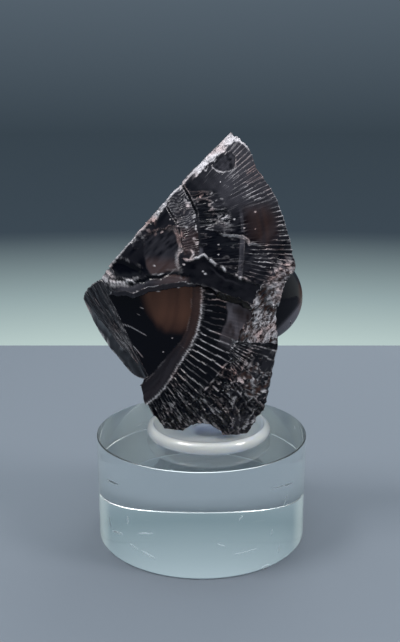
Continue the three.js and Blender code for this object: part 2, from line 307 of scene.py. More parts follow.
# How far the larger features stand out or sink in, and the bulge of each break.
UPPER_BEND, LOWER_BEND = 150, 600
GROOVE_DEPTH = 0.3
BAND_EDGE_DEPTH = 0.3
STRIP_RISE = 0.16
BRIGHT_STEP_DROP = 0.34
LIP_DROP = 0.34
CRACK_DEPTH = 0.34
RIB_RISE = 0.45
FAR_EDGE_RISE = 0.3


def bulge(p, radius):
    return -p.r**2 / (2 * radius)


def build_up(p, s, features):
    """Runs the features over the surface, and gives what a surface function gives."""
    for feature in features:
        feature(p, s)
    return s.h, s.wear, s.haze, s.tint


# Lines and patches of the upper break, as x and z on the stone.
GROOVE_LINE = [(-4.9, 84.1), (-4.3, 83.2), (-3.3, 81.7), (-2.2, 79.8), (-1.4, 77.7), (-1.1, 75.8),
               (-0.8, 73.5), (-0.7, 71.4), (-0.5, 69.9), (-0.4, 68.7)]
BEAD_EDGE = [(-8.6, 80.7), (-7.7, 79.4), (-6.8, 77.8), (-5.8, 76.3), (-5.1, 75.2), (-4.6, 73.4),
             (-4.3, 71.3), (-3.9, 69.1)]
STEP_BRIGHT = [(3, 73.7), (4.3, 73.4), (6.2, 73.2), (8.5, 73.1), (9.7, 72.4), (10, 71.6),
               (10.6, 71.7), (12.4, 71.3), (14.4, 71.3)]
RIB_STRIP = [(8.4, 79.4), (8.8, 76.5), (9.1, 72.7), (8.9, 68.5), (8.5, 65)]
LIP_LINE = [(-3.6, 68), (-1.4, 68.1), (-0.5, 68.7), (0.4, 68.9), (1.4, 68), (3.4, 66.9),
            (5.5, 65.4), (7.9, 64.5), (8.8, 64.4), (11.5, 63.3), (13.8, 62), (15.2, 60.6)]
APEX_LINE = [(-2.2, 84.4), (0.4, 87.3), (1.9, 88.8), (3.1, 89.8), (4.5, 91.1), (5.6, 92.4),
             (6.4, 93.1), (7.6, 93.3), (8.5, 92.6), (9.4, 91.8), (10, 91.2)]
RIDGE = [(-23.1, 63.1), (-17.8, 69), (-11, 76.7), (-4.9, 83.5), (2.5, 91.1), (6.6, 94.9)]
RIDGE_WEDGE = [(-7.2, 80.9), (-7.7, 79.4), (-8.9, 78.1), (-9.7, 76.3), (-11.2, 75.4), (-12.6, 74.9),
               (-11, 76.9), (-8.8, 79.3)]
FACET_LEDGE = [(-22, 64.8), (-21.5, 63), (-18.2, 62.7), (-15.4, 63), (-14.9, 62.8)]
CRACK_LINE = [(-20.6, 63.3), (-17.3, 63), (-15.4, 62.3), (-13.6, 62.9), (-12.6, 63.1),
              (-11.2, 64.2), (-9.4, 64), (-7.4, 64.7), (-6, 65.1), (-4.8, 64.7), (-3.6, 64.2)]
ROUND_PATCH = [(-11.2, 73.6), (-8.9, 74.2), (-7.4, 74.7), (-6, 75), (-5.1, 73.4), (-4.5, 71.3),
               (-4.3, 70.2), (-5.1, 68.7), (-5.1, 67.2), (-4.6, 65.4), (-6, 65.2), (-8.1, 64.9),
               (-11.2, 64.3), (-12.2, 66.1), (-12.6, 68.7), (-12.4, 72.3)]
DARK_FACET = [(-20.8, 65.3), (-19.6, 67.6), (-17.7, 68.1), (-14.9, 66.9), (-12.8, 66),
              (-13.1, 64.2), (-15.4, 63.5), (-18.7, 63.4)]
HALF_MOON = [(1.9, 88.1), (2.2, 87.4), (3.6, 86.6), (5.2, 86.7), (6.5, 87.4), (7.1, 88.6),
             (7.1, 89.9), (6.1, 91.1), (4.5, 90.4), (3.1, 89.4)]
SMALL_CHIP = [(-0.1, 88), (0.2, 87.1), (0.6, 87), (1, 87.6), (0.9, 88.1)]
CALM_PATCH = [(8.9, 79.2), (13.8, 80), (15.4, 77.7), (15.8, 74), (13.8, 71.7), (9.6, 72.8)]
TORN_CORNER = [(11, 70), (18, 69.4), (20.8, 68.3), (21.6, 65.5), (18, 59), (14.3, 59.7),
               (11.5, 63.7)]
RAGGED_LINES = [[(-2.2, 82), (-1.3, 80.9), (1, 81.8), (2.4, 82.2)],
                [(-1.1, 79.9), (2.2, 80.4), (4.4, 81.1)]]
CRESCENT = [(-2.3, 70), (-1.8, 69.2), (-2.1, 68.6), (-2.4, 68.3)]
# Painted highlights: small bright spots, x, z and radius.
GLINTS = [
    (-3.1, 79.3, 0.5), (-1.7, 72.4, 0.5), (-5.3, 75.8, 0.26), (-5.2, 75, 0.3), (-3.3, 74.8, 0.32),
    (-3.7, 72.5, 0.2), (-4.6, 73, 0.3), (-8.7, 73.7, 0.38), (-6.8, 76.4, 0.2), (-0.5, 81.2, 0.28),
    (-3.3, 68, 0.28), (-3.9, 66.9, 0.36), (0.1, 65.6, 0.3), (0.6, 65.1, 0.4), (8.1, 64.6, 0.34),
    (3.5, 69.2, 0.22), (6.8, 76.7, 0.28), (8.9, 74.9, 0.24), (11.2, 74.8, 0.16), (11.2, 78.4, 0.3),
    (3.5, 71.3, 0.22), (7.1, 66.5, 0.18), (-10.3, 66.5, 0.26), (3.8, 84.5, 0.18), (1, 80.7, 0.16),
]
# Lost flakes: outline, depth, how it leans, seed, dullness and width of its slope.
FLAKES = [
    (ROUND_PATCH, 0.4, (0.14, 0.09), 61, 0.1, 0.25), (DARK_FACET, 0.4, (0, 0), 63, 0.0, 1.4),
    (HALF_MOON, 0.34, (0.05, -0.3), 65, 0.2, 0.3), (SMALL_CHIP, 0.3, (0, -0.5), 67, 0.2, 0.2),
]

# Lines, patches and specks of the lower break.
LONG_SCRATCHES = [[(-18.6, 53), (-16, 52.3), (-12.7, 50.5)],
                  [(-16.6, 48.8), (-15, 47.3), (-13.5, 45.4)]]
LEDGE_FOOT = [(-21.5, 62), (-20.3, 61.2), (-17.9, 60.6), (-16.4, 60.4), (-15.6, 61)]
SPECKS = [(-13.7, 57.8), (-13.2, 56.6), (-14.2, 55.2), (-13.4, 57.2), (-6.6, 49.9), (-8.7, 46.6),
          (-9.5, 60.5), (-5.2, 61.5), (-7.3, 56.2)]
# The brown patch is a painted reflection.
BROWN_REFLECTION_PATCH = [(-14, 61.6), (-3.4, 64.5), (-0.4, 63), (-0.5, 58), (-1.8, 53.5), (-4.5, 51.2),
               (-8.6, 51.2), (-11, 54.5)]
FAR_EDGE_RADIUS = 34.6


def flake(p, outline, depth, lean, seed, soft=0.3):
    """A shallow flake lost from the surface. lean points to its deeper side.
    Gives how far it sinks, its share, and its bright rim."""
    shift = 0.2 * noise(p.x * 1.4, p.z * 1.4, seed)
    edge = inside(outline, p.x + shift, p.z - shift)
    middle = np.mean(outline, axis=0)
    deep = 1 + (p.x - middle[0]) * lean[0] + (p.z - middle[1]) * lean[1]
    deep = np.clip(deep, 0.05, 2.2)
    sink = depth * deep * ramp(0, soft, edge)
    rim = ramp(0.22, 0.06, np.abs(edge + 0.04)) * ramp(0.7, 1.6, deep)
    return sink, ramp(0, 0.2, edge), rim * ramp(-0.3, 0.5, noise(p.x * 1.3, p.z * 1.3, seed + 1))


def upper_glass(p, s):
    """The smooth glass: uneven grey dullness, a calm tinted patch, faint ripples."""
    x, z, r, angle = p.x, p.z, p.r, p.angle
    s.haze = 0.06 + 0.05 * noise(x * 0.3, z * 0.3, 1)
    s.haze += 0.05 * noise(x * 1.1 - z, z * 0.2 + x * 0.2, 2)
    s.haze += 0.12 * bell(np.hypot(x - 1.5, z - 83.5), 4)
    s.haze += 0.22 * p.crown
    s.tint = 0.24 * ramp(-1.4, 1.6, p.calm) * (0.85 + 0.35 * noise(r * 1.3, angle * 0.03, 34))
    wobble = 0.5 * noise(angle * 0.06, r * 0.1, 2)
    s.h += 0.02 * np.sin((r + wobble) * 2.9) * ramp(6, 14, r)


def groove_and_band(p, s):
    """A dark groove, with a striped and beaded band on its left."""
    x, z = p.x, p.z
    side = line_distance(GROOVE_LINE, x + 0.12 * noise(x, z * 1.7, 4), z)[1]
    left = line_distance(BEAD_EDGE, x + 0.1 * noise(x, z * 1.3, 3), z)[1]
    p.groove_side = side
    groove = ramp(0.4, 0.1, np.abs(side - 0.15)) * ramp(76, 78.5, z)
    hollow = 0.22 * ramp(0.6, -0.2, side) * ramp(-2.4, -0.6, side) * ramp(68, 70, z)
    s.h -= GROOVE_DEPTH * groove + hollow
    band = ramp(0, 0.2, -side) * ramp(0, 0.25, left) * ramp(68.2, 70, z)
    rows = np.sin((z - 0.33 * x + 0.6 * noise(x * 0.6, z * 0.7, 3)) * 10.5)
    lumps = rough(x * 1.4, z * 1.4, 5)
    near = ramp(2.6, 0.4, -side)
    s.h += band * (0.045 * rows + (0.06 + 0.12 * near) * lumps)
    s.haze += band * (0.12 + 0.1 * noise(x * 0.8, z * 0.5, 38))
    s.tint += band * 0.22 * ramp(76, 73, z)
    s.wear += band * 0.2 * ramp(0.1, 0.9, rows) * ramp(-0.35, 0.35, lumps) * ramp(72, 76, z)
    beads = ramp(0.3, 0.6, noise(x * 2.3, z * 2.3, 6))
    s.wear += band * (0.1 + 0.6 * ramp(1.5, 0.3, -side)) * beads
    outer = 0.5 * ramp(0.22, 0.06, np.abs(left - 0.2))
    s.wear += outer * ramp(82, 80, z) * ramp(70, 71.5, z) * patchy(p, 7, 1.8, -0.1)
    s.haze = np.where(groove > 0.5, 0, s.haze)
    s.h -= BAND_EDGE_DEPTH * ramp(0.35, 0.05, np.abs(left)) * ramp(68.5, 70, z)


def grained_ground(p, s):
    """Level-grained ground between the groove and the pale strip."""
    x, z, side = p.x, p.z, p.groove_side
    reach = p.r - 2.2 * ramp(0, -20, p.angle)
    ground = ramp(0.3, 0.8, side) * ramp(18.9, 17.9, reach) * ramp(83.5, 82, z)
    ground = ground * ramp(0, 0.3, p.above)
    grain = rough(x * 0.28, z * 1.35 - x * 0.16, 6, 4)
    torn = ramp(73.2, 74.6, z) * ramp(82.8, 79, z)
    s.h += ground * grain * (0.08 + 0.3 * torn)
    ripe = bell(np.hypot((x - 4.3) * 0.55, z - 76.6), 1.1)
    dash = ramp(0.12, 0.03, np.abs(grain - 0.22)) * ground
    pale = ramp(-0.4, 0.4, noise(x * 0.6, z * 0.6, 8))
    s.wear += dash * (0.1 + 0.45 * torn * pale + 0.35 * ripe)
    crinkle = rough(x * 0.8 + 0.5 * noise(x, z, 48), z * 1.6, 39)
    s.wear += 0.5 * ripe * ground * ramp(0.2, 0.06, np.abs(crinkle))
    s.haze = s.haze * (1 - 0.75 * ground) + ground * torn * 0.14 * ramp(0, 0.4, grain)
    ragged_x = x + 0.3 * noise(x * 1.5, z * 1.5, 49)
    ragged_z = z + 0.5 * noise(x * 1.3, z * 1.3, 50)
    for line in RAGGED_LINES:
        away = line_distance(line, ragged_x, ragged_z)[0]
        s.wear += 0.4 * ramp(0.24, 0.05, away) * ramp(-0.2, 0.4, noise(x * 2, z * 2, 51))


def strip_and_step(p, s):
    """A narrow pale strip, with a bright step across its top."""
    x, z = p.x, p.z
    side = line_distance(RIB_STRIP, x, z)[1]
    strip = ramp(0.05, -0.1, side) * ramp(-1.15, -0.95, side)
    strip = strip * ramp(63.8, 64.6, z) * ramp(73.1, 72.6, z)
    s.h += STRIP_RISE * strip
    s.haze += 0.34 * strip * (0.8 + 0.5 * noise(x * 2, z * 0.6, 10))
    upward = ramp(0.45, 0.2, np.abs(side + 0.35)) * ramp(73, 74, z) * ramp(79.4, 77.5, z)
    s.haze += 0.24 * upward
    away, side = line_distance(STEP_BRIGHT, x, z + 0.12 * noise(x * 1.5, z, 8))
    drop = BRIGHT_STEP_DROP * ramp(0.12, -0.12, side) * ramp(4, 0, away)
    s.h -= drop * ramp(14.5, 12, x) * ramp(2.5, 4.5, x)
    thick = 0.3 + 0.14 * ramp(5, 8.5, x) * ramp(10.5, 9.5, x)
    s.wear += 0.7 * ramp(thick, 0.1, away) * ramp(13.5, 10, x) * ramp(3.4, 5, x)
    s.haze = np.where((side > 0.3) & (away < 0.8) & (x > 6) & (x < 12), 0, s.haze)


def broken_lip(p, s):
    """A broken bright lip, and the black steep band below it down to the step."""
    x, z, above = p.x, p.z, p.above
    fall = np.clip(-above, 0, 6)
    along = ramp(-4.6, -3, x) * ramp(17, 13, x)
    s.h -= along * (LIP_DROP * ramp(0, 0.35, fall) + 0.13 * np.clip(fall - 0.35, 0, 5))
    # Painted shade: the steep band is cleared of its grey and brown, so it reads black.
    s.haze = s.haze * (1 - along * ramp(-0.1, 0.3, fall))
    s.tint = s.tint * (1 - along * ramp(-0.1, 0.3, fall))
    crumbs = ramp(-0.15, 0.45, noise(x * 1.5, z * 1.5, 16)) * ramp(0.5, 0.2, np.abs(above - 0.1))
    crest = ramp(0.34, 0.12, np.abs(above - 0.05)) * ramp(1.6, 0.6, x)
    s.wear += 0.9 * along * ramp(12, 8, x) * np.maximum(crumbs, crest)
    veil = ramp(0.6, 0.35, np.abs(x + 0.2)) * ramp(68.6, 69.2, z) * ramp(71, 70, z)
    s.haze += 0.5 * veil * (0.7 + 0.5 * noise(x * 3, z, 40))
    s.wear += 0.75 * ramp(0.26, 0.08, line_distance(CRESCENT, x, z)[0])
    smear = ramp(0.35, 0.05, np.abs(above + 1.5 + 0.3 * noise(x * 0.4, 0 * x, 43)))
    s.haze += along * ramp(0, 0.3, fall) * (0.05 + 0.06 * rough(x * 0.5, z * 0.9, 52))
    s.haze += 0.12 * along * smear * ramp(1, 3, x) * ramp(9, 6, x)


def foot_crack(p, s):
    """A crack at the foot of the break, and the ledge under it."""
    x, z = p.x, p.z
    jag = 0.2 * noise(x * 0.9, 0 * x, 9) + 0.1 * noise(x * 2.6, 0 * x, 10)
    away, side = line_distance(CRACK_LINE, x, z + jag)
    crack = ramp(0.62, 0.15, away) * ramp(-2.6, -4, x)
    ledge = ramp(-0.1, -0.4, side) * ramp(2.8, 1.8, away) * ramp(-2.4, -4.2, x) * ramp(-20, -17, x)
    # Painted reflection: the ledge is painted grey and brown.
    s.haze += 0.3 * ledge * (0.8 + 0.6 * noise(x * 0.5, z * 2, 11))
    s.tint += 0.3 * ledge * ramp(-12, -6, x)
    s.h -= CRACK_DEPTH * crack
    # Painted shadow: the crack is cleared to black.
    s.haze = np.where(crack > 0.3, 0, s.haze)
    upper_side = 0.35 * ramp(0.3, 0.1, np.abs(side - 0.75))
    s.wear += upper_side * ramp(0.2, 0.5, noise(x * 1.2, z * 1.2, 16)) * ramp(-4, -6, x)


def upper_hackles(p, s):
    """Broken hackles in a band towards the right, a fine comb along the right edge."""
    z, r, angle = p.z, p.r, p.angle
    fan = ramp(-30, -24, angle) * ramp(68, 56, angle) * ramp(0, 0.5, p.above)
    fan = fan * (1 - 0.7 * ramp(-0.2, 0.4, inside(HALF_MOON, p.x, z)))
    quiet = 1 - 0.94 * ramp(-0.8, 0.8, p.calm)
    saw, crest = hackles(p, 2.1, 18.5, 22, 11)
    level = 0.1 + 0.75 * bell(r - 23.2, 2.4) * ramp(16.5, 20, angle) * ramp(40, 34, angle)
    level += 0.3 * ramp(24, 27, r) * ramp(12, 18, angle) * ramp(50, 36, angle)
    level += 0.8 * ramp(-6, -11, angle) * ramp(21, 24, r)
    s.h += 0.26 * saw * fan * quiet
    s.wear += level * crest * quiet * patchy(p, 12, 0.7, 0.25) * ramp(18, 21, r) * fan
    comb, comb_crest = hackles(p, 1.6, 26.6, 28.6, 13)
    s.h += 0.18 * comb * fan
    s.wear += (0.62 - 0.3 * ramp(76, 72, z)) * comb_crest * fan * patchy(p, 14, 0.9, 0.2)
    fine, fine_crest = hackles(p, 0.95, 17, 21, 15)
    s.h += 0.05 * fine * fan * quiet
    s.wear += (0.18 + 0.14 * ramp(18, 26, angle) + 0.2 * p.crown) * fine_crest * fan * quiet
    s.haze += 0.05 * fan * ramp(16, 24, angle) * ramp(19, 22, r)


def torn_corner(p, s):
    """The rough lower right corner, torn along the hackles."""
    x, z = p.x, p.z
    corner = inside(TORN_CORNER, x + 0.8 * noise(x, z, 26), z)
    start = x + 0.25 * (68 - z) + 0.9 * noise(x, z, 41)
    corner = ramp(-0.3, 2.2, corner) * ramp(14, 17.5, start)
    u, v = x * 0.87 - z * 0.5, x * 0.5 + z * 0.87
    grit, glint = chips(u * 0.45, v * 1.1, 0.55, 17)
    s.h += corner * (0.35 * grit + 0.2 * rough(u * 0.6, v, 27))
    s.wear += 0.9 * corner * ramp(0.4, 0.7, glint)
    s.haze += 0.18 * corner


def flake_scars(p, s):
    """The lost flakes, and the streaks and bright lower edge of the round one."""
    x, z = p.x, p.z
    for outline, depth, lean, seed, dull, soft in FLAKES:
        sink, share, rim = flake(p, outline, depth, lean, seed, soft)
        s.h -= sink
        s.wear = s.wear * (1 - 0.8 * share) + 0.85 * rim
        s.haze = s.haze * (1 - share) + dull * share
    s.haze += 0.2 * ramp(0, 0.4, inside(HALF_MOON, x, z)) * noise(x * 1.7, z * 1.7, 66)
    deep = inside(ROUND_PATCH, x, z)
    within = ramp(0, 0.5, deep)
    streaks = noise((x + z) * 0.5, (x - z) * 1.8, 18)
    s.haze += within * (0.12 * streaks + 0.12 * ramp(69.5, 67, z))
    s.tint += within * 0.3 * ramp(69, 66.5, z)
    lit = ramp(0.85, 0.5, deep) * ramp(-0.05, 0.1, deep) * ramp(-8, -6.4, x) * ramp(65.2, 66.6, z)
    s.wear += lit * (0.42 + 0.2 * noise(x * 2, z * 2, 44))
    dots = ramp(0.35, 0.6, noise(x * 1.4, z * 1.4, 45)) * ramp(1.2, 0.5, deep) * within
    s.wear += 0.4 * dots * ramp(72, 73, z)


def apex_bevel(p, s):
    """A crushed bevel at the apex."""
    x, z = p.x, p.z
    side = line_distance(APEX_LINE, x, z + 0.15 * noise(x * 1.6, z, 28))[1]
    side = side - 0.15 * noise(x * 0.9, z * 0.9, 33)
    bevel = ramp(0, 0.2, side) * ramp(-2.4, -0.6, x)
    grit, glint = chips(x, z, 0.5, 19)
    pits = rough(x * 1.7, z * 1.7, 29)
    s.h -= bevel * (0.4 * np.clip(side, 0, 3) + 0.12 * (grit + pits + 0.5))
    s.wear += bevel * (0.85 + 0.25 * pits + 0.2 * glint) * ramp(-0.55, -0.2, pits)
    s.haze += 0.25 * bevel


def upper_left_edge(p, s):
    """A thin crushed line, painted pale as crushed glass and as a painted highlight, with a
    wedge-shaped chip on it.
    """
    x, z = p.x, p.z
    away = line_distance(RIDGE, x, z)[0]
    row = noise((x + z) * 0.42, 0 * x, 21)
    bite = ramp(0.25 + 0.9 * np.clip(row, 0, 1), 0.1, away) * ramp(0.1, 0.35, row)
    s.h -= 0.3 * bite * (1 + 0.3 * rough(x * 2, z * 2, 22))
    s.wear += 0.7 * bite * ramp(-0.5, 0, noise(x * 2, z * 2, 31)) + 0.9 * ramp(0.34, 0.14, away)
    wedge = ramp(-0.1, 0.15, inside(RIDGE_WEDGE, x, z + 0.25 * noise(x * 1.8, z * 1.8, 42)))
    s.h -= wedge * (0.25 + 0.2 * rough(x * 1.8, z * 1.8, 46))
    s.wear += 0.95 * wedge * ramp(-0.6, -0.2, noise(x * 2.4, z * 2.4, 47))
    shelf = ramp(2.6, 1.4, away) * ramp(-15.5, -14, x) * ramp(-9.5, -11, x)
    crumble = rough(x * 0.9, z * 0.9, 32)
    s.h += 0.25 * shelf * crumble
    s.wear += 0.2 * shelf * ramp(0.25, 0.5, crumble)


def left_corner(p, s):
    """A bright ledge under the dark facet, and broken ground at the left corner."""
    x, z = p.x, p.z
    away, side = line_distance(FACET_LEDGE, x, z + 0.25 * noise(x * 1.3, z, 23))
    echo = 0.45 * ramp(0.45, 0.1, np.abs(away - 0.7)) * ramp(0, 0.5, -side) * ramp(-15.5, -17, x)
    s.wear += 0.9 * ramp(0.3, 0.1, away) + echo
    s.h += 0.25 * ramp(0.4, 0.1, away)
    tip = ramp(-18.5, -21, x + 0.8 * noise(x, z, 30)) * ramp(66.5, 65, z)
    grit, glint = chips(x * 0.7 + z * 0.7, z * 0.8 - x * 0.5, 0.7, 24)
    s.h += 0.3 * tip * grit
    s.wear += 0.5 * tip * ramp(0.5, 0.75, glint)


def glints(p, s):
    # Painted highlights: each spot is painted pale.
    for x, z, size in GLINTS:
        s.wear += 0.95 * ramp(size, 0.4 * size, np.hypot(p.x - x, (p.z - z) * 1.3))


def upper_break(p):
    x, z = p.x, p.z
    p.crown = ramp(76, 82, z) * ramp(2, 6, x)
    p.calm = inside(CALM_PATCH, x, z)
    p.above = line_distance(LIP_LINE, x, z + 0.25 * noise(x * 1.4, 0 * x, 37))[1]
    return build_up(p, SimpleNamespace(h=bulge(p, UPPER_BEND), wear=np.zeros_like(x)), (
        upper_glass, groove_and_band, grained_ground, strip_and_step, broken_lip, foot_crack,
        upper_hackles, torn_corner, flake_scars, apex_bevel, upper_left_edge, left_corner, glints))


def rib_radius(angle):
    """Radius of the serrated rib of the lower break at each angle."""
    return 24.7 + 1.2 * ramp(40, 0, angle) + 4.4 * ramp(2, -36, angle)


def bowl_and_brown_reflection(p, s):
    """The smooth bowl with its brown patch, a painted reflection, and fine ripples towards the rib.
    """
    x, z, angle, before = p.x, p.z, p.angle, p.before
    s.h += 0.016 * np.sin(before * 8) * ramp(5, 2, before) * ramp(0.2, 0.8, before)
    width = 2.3 + 2.2 * ramp(12, -28, angle)
    strip = ramp(width + 0.25, width - 0.1, before) * ramp(-0.1, 0.1, before)
    within = inside(BROWN_REFLECTION_PATCH, x, z) + 0.4 * noise(x * 0.9, z * 0.25, 53)
    patch = ramp(-1.1, 1.1, within) * ramp(width - 0.2, width + 0.2, before)
    s.tint = patch * (0.85 + 0.25 * noise(before * 1.1, angle * 0.02, 30)) * ramp(48, 56, z)
    uneven = 0.8 + 0.4 * noise(before * 1.6, angle * 0.05, 29)
    s.tint += strip * (0.04 + 0.6 * ramp(-5, 28, angle)) * uneven
    s.haze = 0.1 * strip * (1 + 0.5 * noise(before * 2, angle * 0.1, 28))
    line = 0.1 * ramp(0.2, 0.05, np.abs(before - width))
    s.wear += line * ramp(-0.4, 0.4, noise(angle * 0.3, 0 * x, 27))


def serrated_rib(p, s):
    """A rib that rises slowly and drops at once, with a crushed crest painted pale, as crushed
    glass and as painted sparkle.
    """
    angle, before, after = p.angle, p.before, p.after
    s.h += RIB_RISE * ramp(2.6, 0.1, before) * ramp(-0.3, 0, before)
    teeth = 0.5 + 0.5 * np.sin(angle * 4.6 + 2 * noise(angle * 0.3, 0 * angle, 26))
    sparkle = ramp(-0.8, 0.5, noise(angle * 1.7, 0 * angle, 32))
    s.wear += ramp(0.24, 0.06, np.abs(before + 0.05)) * (0.25 + 0.75 * sparkle)
    falling = 0.55 * teeth * ramp(0.9, 0.1, after) * ramp(-0.1, 0.1, after)
    s.wear += falling * ramp(-0.6, 0.4, noise(angle * 0.7, p.r, 33))
    s.wear += 0.3 * teeth * ramp(0.6, 0.1, before) * ramp(-0.1, 0.1, before)


def hackle_field(p, s):
    """A black field of hackles, then the grey band with its bright further edge."""
    x, z, r, angle = p.x, p.z, p.r, p.angle
    field = ramp(0.1, 0.9, p.after)
    band = ramp(30.4, 30.9, r + 0.4 * noise(angle * 0.3, 0 * x, 35)) * ramp(10, 20, angle)
    high = ramp(6, 16, angle)
    saw, line = hackles(p, 2.9, 23, 25.5, 33)
    s.h += 0.3 * saw * field * (1 - 0.8 * band)
    broken = patchy(p, 34, 0.55, 0.35 + 0.9 * high)
    s.wear += (0.32 + 0.45 * high) * line * field * (1 - 0.9 * band) * broken
    saw, line = hackles(p, 1.5, 24, 32, 36)
    s.h += 0.1 * saw * field
    s.wear += 0.2 * line * field * (1 - 0.8 * band) * (1 - 0.7 * high) * patchy(p, 42, 0.7, 0.1)
    mottle = 0.75 + 0.5 * noise(x * 0.5, z * 0.25, 35) + 0.4 * noise(x * 1.6, z * 0.6, 34)
    s.haze += 0.68 * band * mottle * ramp(36.6, 35.4, r)
    s.tint += 0.14 * band
    further = ramp(26, 20, angle) * ramp(-14, -8, angle)
    s.wear += 0.7 * ramp(0.3, 0.08, np.abs(p.beyond)) * further * patchy(p, 43, 1.2, 0.1)
    s.h += FAR_EDGE_RISE * ramp(-1.5, 0, p.beyond) * ramp(0.3, 0, p.beyond) * further


def torn_ground(p, s):
    """Torn ground beyond the further edge and towards the feet."""
    x, z, angle = p.x, p.z, p.angle
    low = ramp(-4, -16, angle) * ramp(0.5, 2.5, p.after)
    torn = np.maximum(low, ramp(-0.2, 0.6, p.beyond) * ramp(27, 20, angle))
    saw, line = hackles(p, 1.9, 25, 30, 37)
    s.h += 0.3 * saw * low
    s.wear += 0.24 * line * low * patchy(p, 38, 1.1, -0.1)
    u, v = x * 0.82 + z * 0.57, z * 0.82 - x * 0.57
    grit, glint = chips(v * 0.42, u * 1.1, 0.6, 39)
    lumps = rough(v * 0.4, u * 0.8, 44)
    s.h += torn * (0.22 * grit + 0.3 * lumps)
    s.wear += 0.45 * torn * ramp(0.82, 0.93, glint) * ramp(-0.2, 0.3, lumps)


def scratches(p, s):
    """The bright foot of the ledge, two long scratches and small specks."""
    x, z = p.x, p.z
    away = line_distance(LEDGE_FOOT, x, z + 0.2 * noise(x * 1.3, z, 48))[0]
    s.wear += 0.75 * ramp(0.34, 0.1, away)
    for scratch in LONG_SCRATCHES:
        away, side = line_distance(scratch, x, z)
        s.wear += 0.55 * ramp(0.17, 0.04, away)
        s.h += 0.08 * ramp(-0.1, 0.1, side) * ramp(1.5, 0, away)
    for sx, sz in SPECKS:
        s.wear += 0.9 * ramp(0.2, 0.08, np.hypot(x - sx, z - sz))


def lower_break(p):
    angle, flat = p.angle, 0 * p.x
    rib = rib_radius(angle) + 0.08 * np.sin(angle * 5) + 0.12 * noise(angle * 1.1, flat, 31)
    p.before = rib - p.r
    p.after = -p.before
    p.beyond = p.r - FAR_EDGE_RADIUS - 0.5 * noise(angle * 0.2, flat, 36)
    return build_up(p, SimpleNamespace(h=bulge(p, LOWER_BEND), wear=np.zeros_like(p.x)), (
        bowl_and_brown_reflection, serrated_rib, hackle_field, torn_ground, scratches))


def right_notch(p):
    h = bulge(p, -80)
    u, v = p.x * 0.86 - p.z * 0.51, p.x * 0.51 + p.z * 0.86
    grit, glint = chips(u, v * 0.45, 0.48, 45)
    small, small_glint = chips(u * 1.1, v * 0.6, 0.3, 46)
    lumps = rough(u * 0.6, v * 0.32, 47)
    far = ramp(0.5, 2.5, p.r)
    h += far * (0.5 * grit + 0.14 * small + 0.6 * lumps)
    lit = ramp(-0.35, 0.2, lumps)
    wear = (0.95 * ramp(0.5, 0.72, glint) + 0.6 * ramp(0.66, 0.82, small_glint)) * lit
    return h, wear, 0.12 * lit + 0.1 * glint, 0.4 * ramp(0.6, 0.3, glint)


def right_foot(p):
    x, z = p.x, p.z
    h = bulge(p, 1000)
    saw, line = hackles(p, 7.4, 0.5, 4, 51)
    fine, fine_line = hackles(p, 3.1, 3, 10, 52)
    u, v = x * 0.5 + z * 0.87, x * 0.87 - z * 0.5
    grit, glint = chips(u * 0.26, v * 1.25, 0.62, 53)
    lumps = rough(u * 0.35, v * 0.7, 54)
    rugged = ramp(1, 5, p.r) * ramp(-0.9, 0.2, noise(x * 0.22, z * 0.16, 58))
    h += 0.7 * saw + 0.3 * fine * rugged + rugged * (0.3 * grit + 0.5 * lumps)
    wear = 0.55 * line * patchy(p, 55, 0.6, 0.2)
    wear += 0.4 * fine_line * patchy(p, 56, 1.2, 0.1) * rugged
    wear += 0.6 * rugged * ramp(0.8, 0.92, glint) * ramp(-0.1, 0.4, lumps)
    return h, wear, 0.05 + 0.08 * noise(x * 0.4, z * 0.4, 57), 0 * x


def left_facet(p):
    h = bulge(p, 700)
    flutes, line = hackles(p, 1.3, 3, 9, 61)
    across = p.r * np.sin(np.radians(p.angle))
    grain = noise(across * 1.4, p.r * 0.12, 62)
    h += 0.14 * flutes + 0.14 * grain + 0.04 * noise(across * 4, p.r * 0.3, 63)
    wear = 0.05 * line + 0.05 * ramp(0.6, 0.85, noise(across * 3, p.r * 0.2, 64))
    wear += 0.8 * ramp(0.7, 0.2, p.r + 3.2 * np.abs(p.angle) / 90)
    return h, wear, 0.04 + 0.08 * grain, 0 * p.x


def plain_break(bend, ribs=(), ridge=None, grain=0.1, seed=70):
    """A quieter break for the back and the sides: ripples, a few hackles, grain."""

    def surface(p):
        h = bulge(p, bend)
        wear = 0 * p.x
        for at, width, rise in ribs:
            ring = at + 0.5 * noise(p.angle * 0.04, 0 * p.r, seed)
            h += rise * bell(p.r - ring, width)
            wear += 0.02 * bell(p.r - ring, 0.2)
        h += 0.03 * np.sin(p.r * 2.1 + noise(p.angle * 0.05, p.r * 0.1, seed + 1))
        if ridge:
            pitch, first, last, rise = ridge
            saw, line = hackles(p, pitch, first, last, seed + 2)
            h += rise * saw
            wear += 0.06 * line * patchy(p, seed + 3, 1.2, 0)
        grit = rough(p.x * 0.8, p.z * 0.8 + p.y * 0.8, seed + 4)
        h += grain * grit
        return h, wear, 0.08 + 0.08 * grit, 0 * p.x

    return surface


def gritty_break(bend, grain, seed):
    """A small crushed break."""

    def surface(p):
        grit = rough(p.x * 1.3 + p.y, p.z * 1.3 - p.y, seed)
        h = bulge(p, bend) + grain * grit
        return h, 0.7 * ramp(0, 0.5, grit), 0.3 + 0 * p.x, 0 * p.x

    return surface


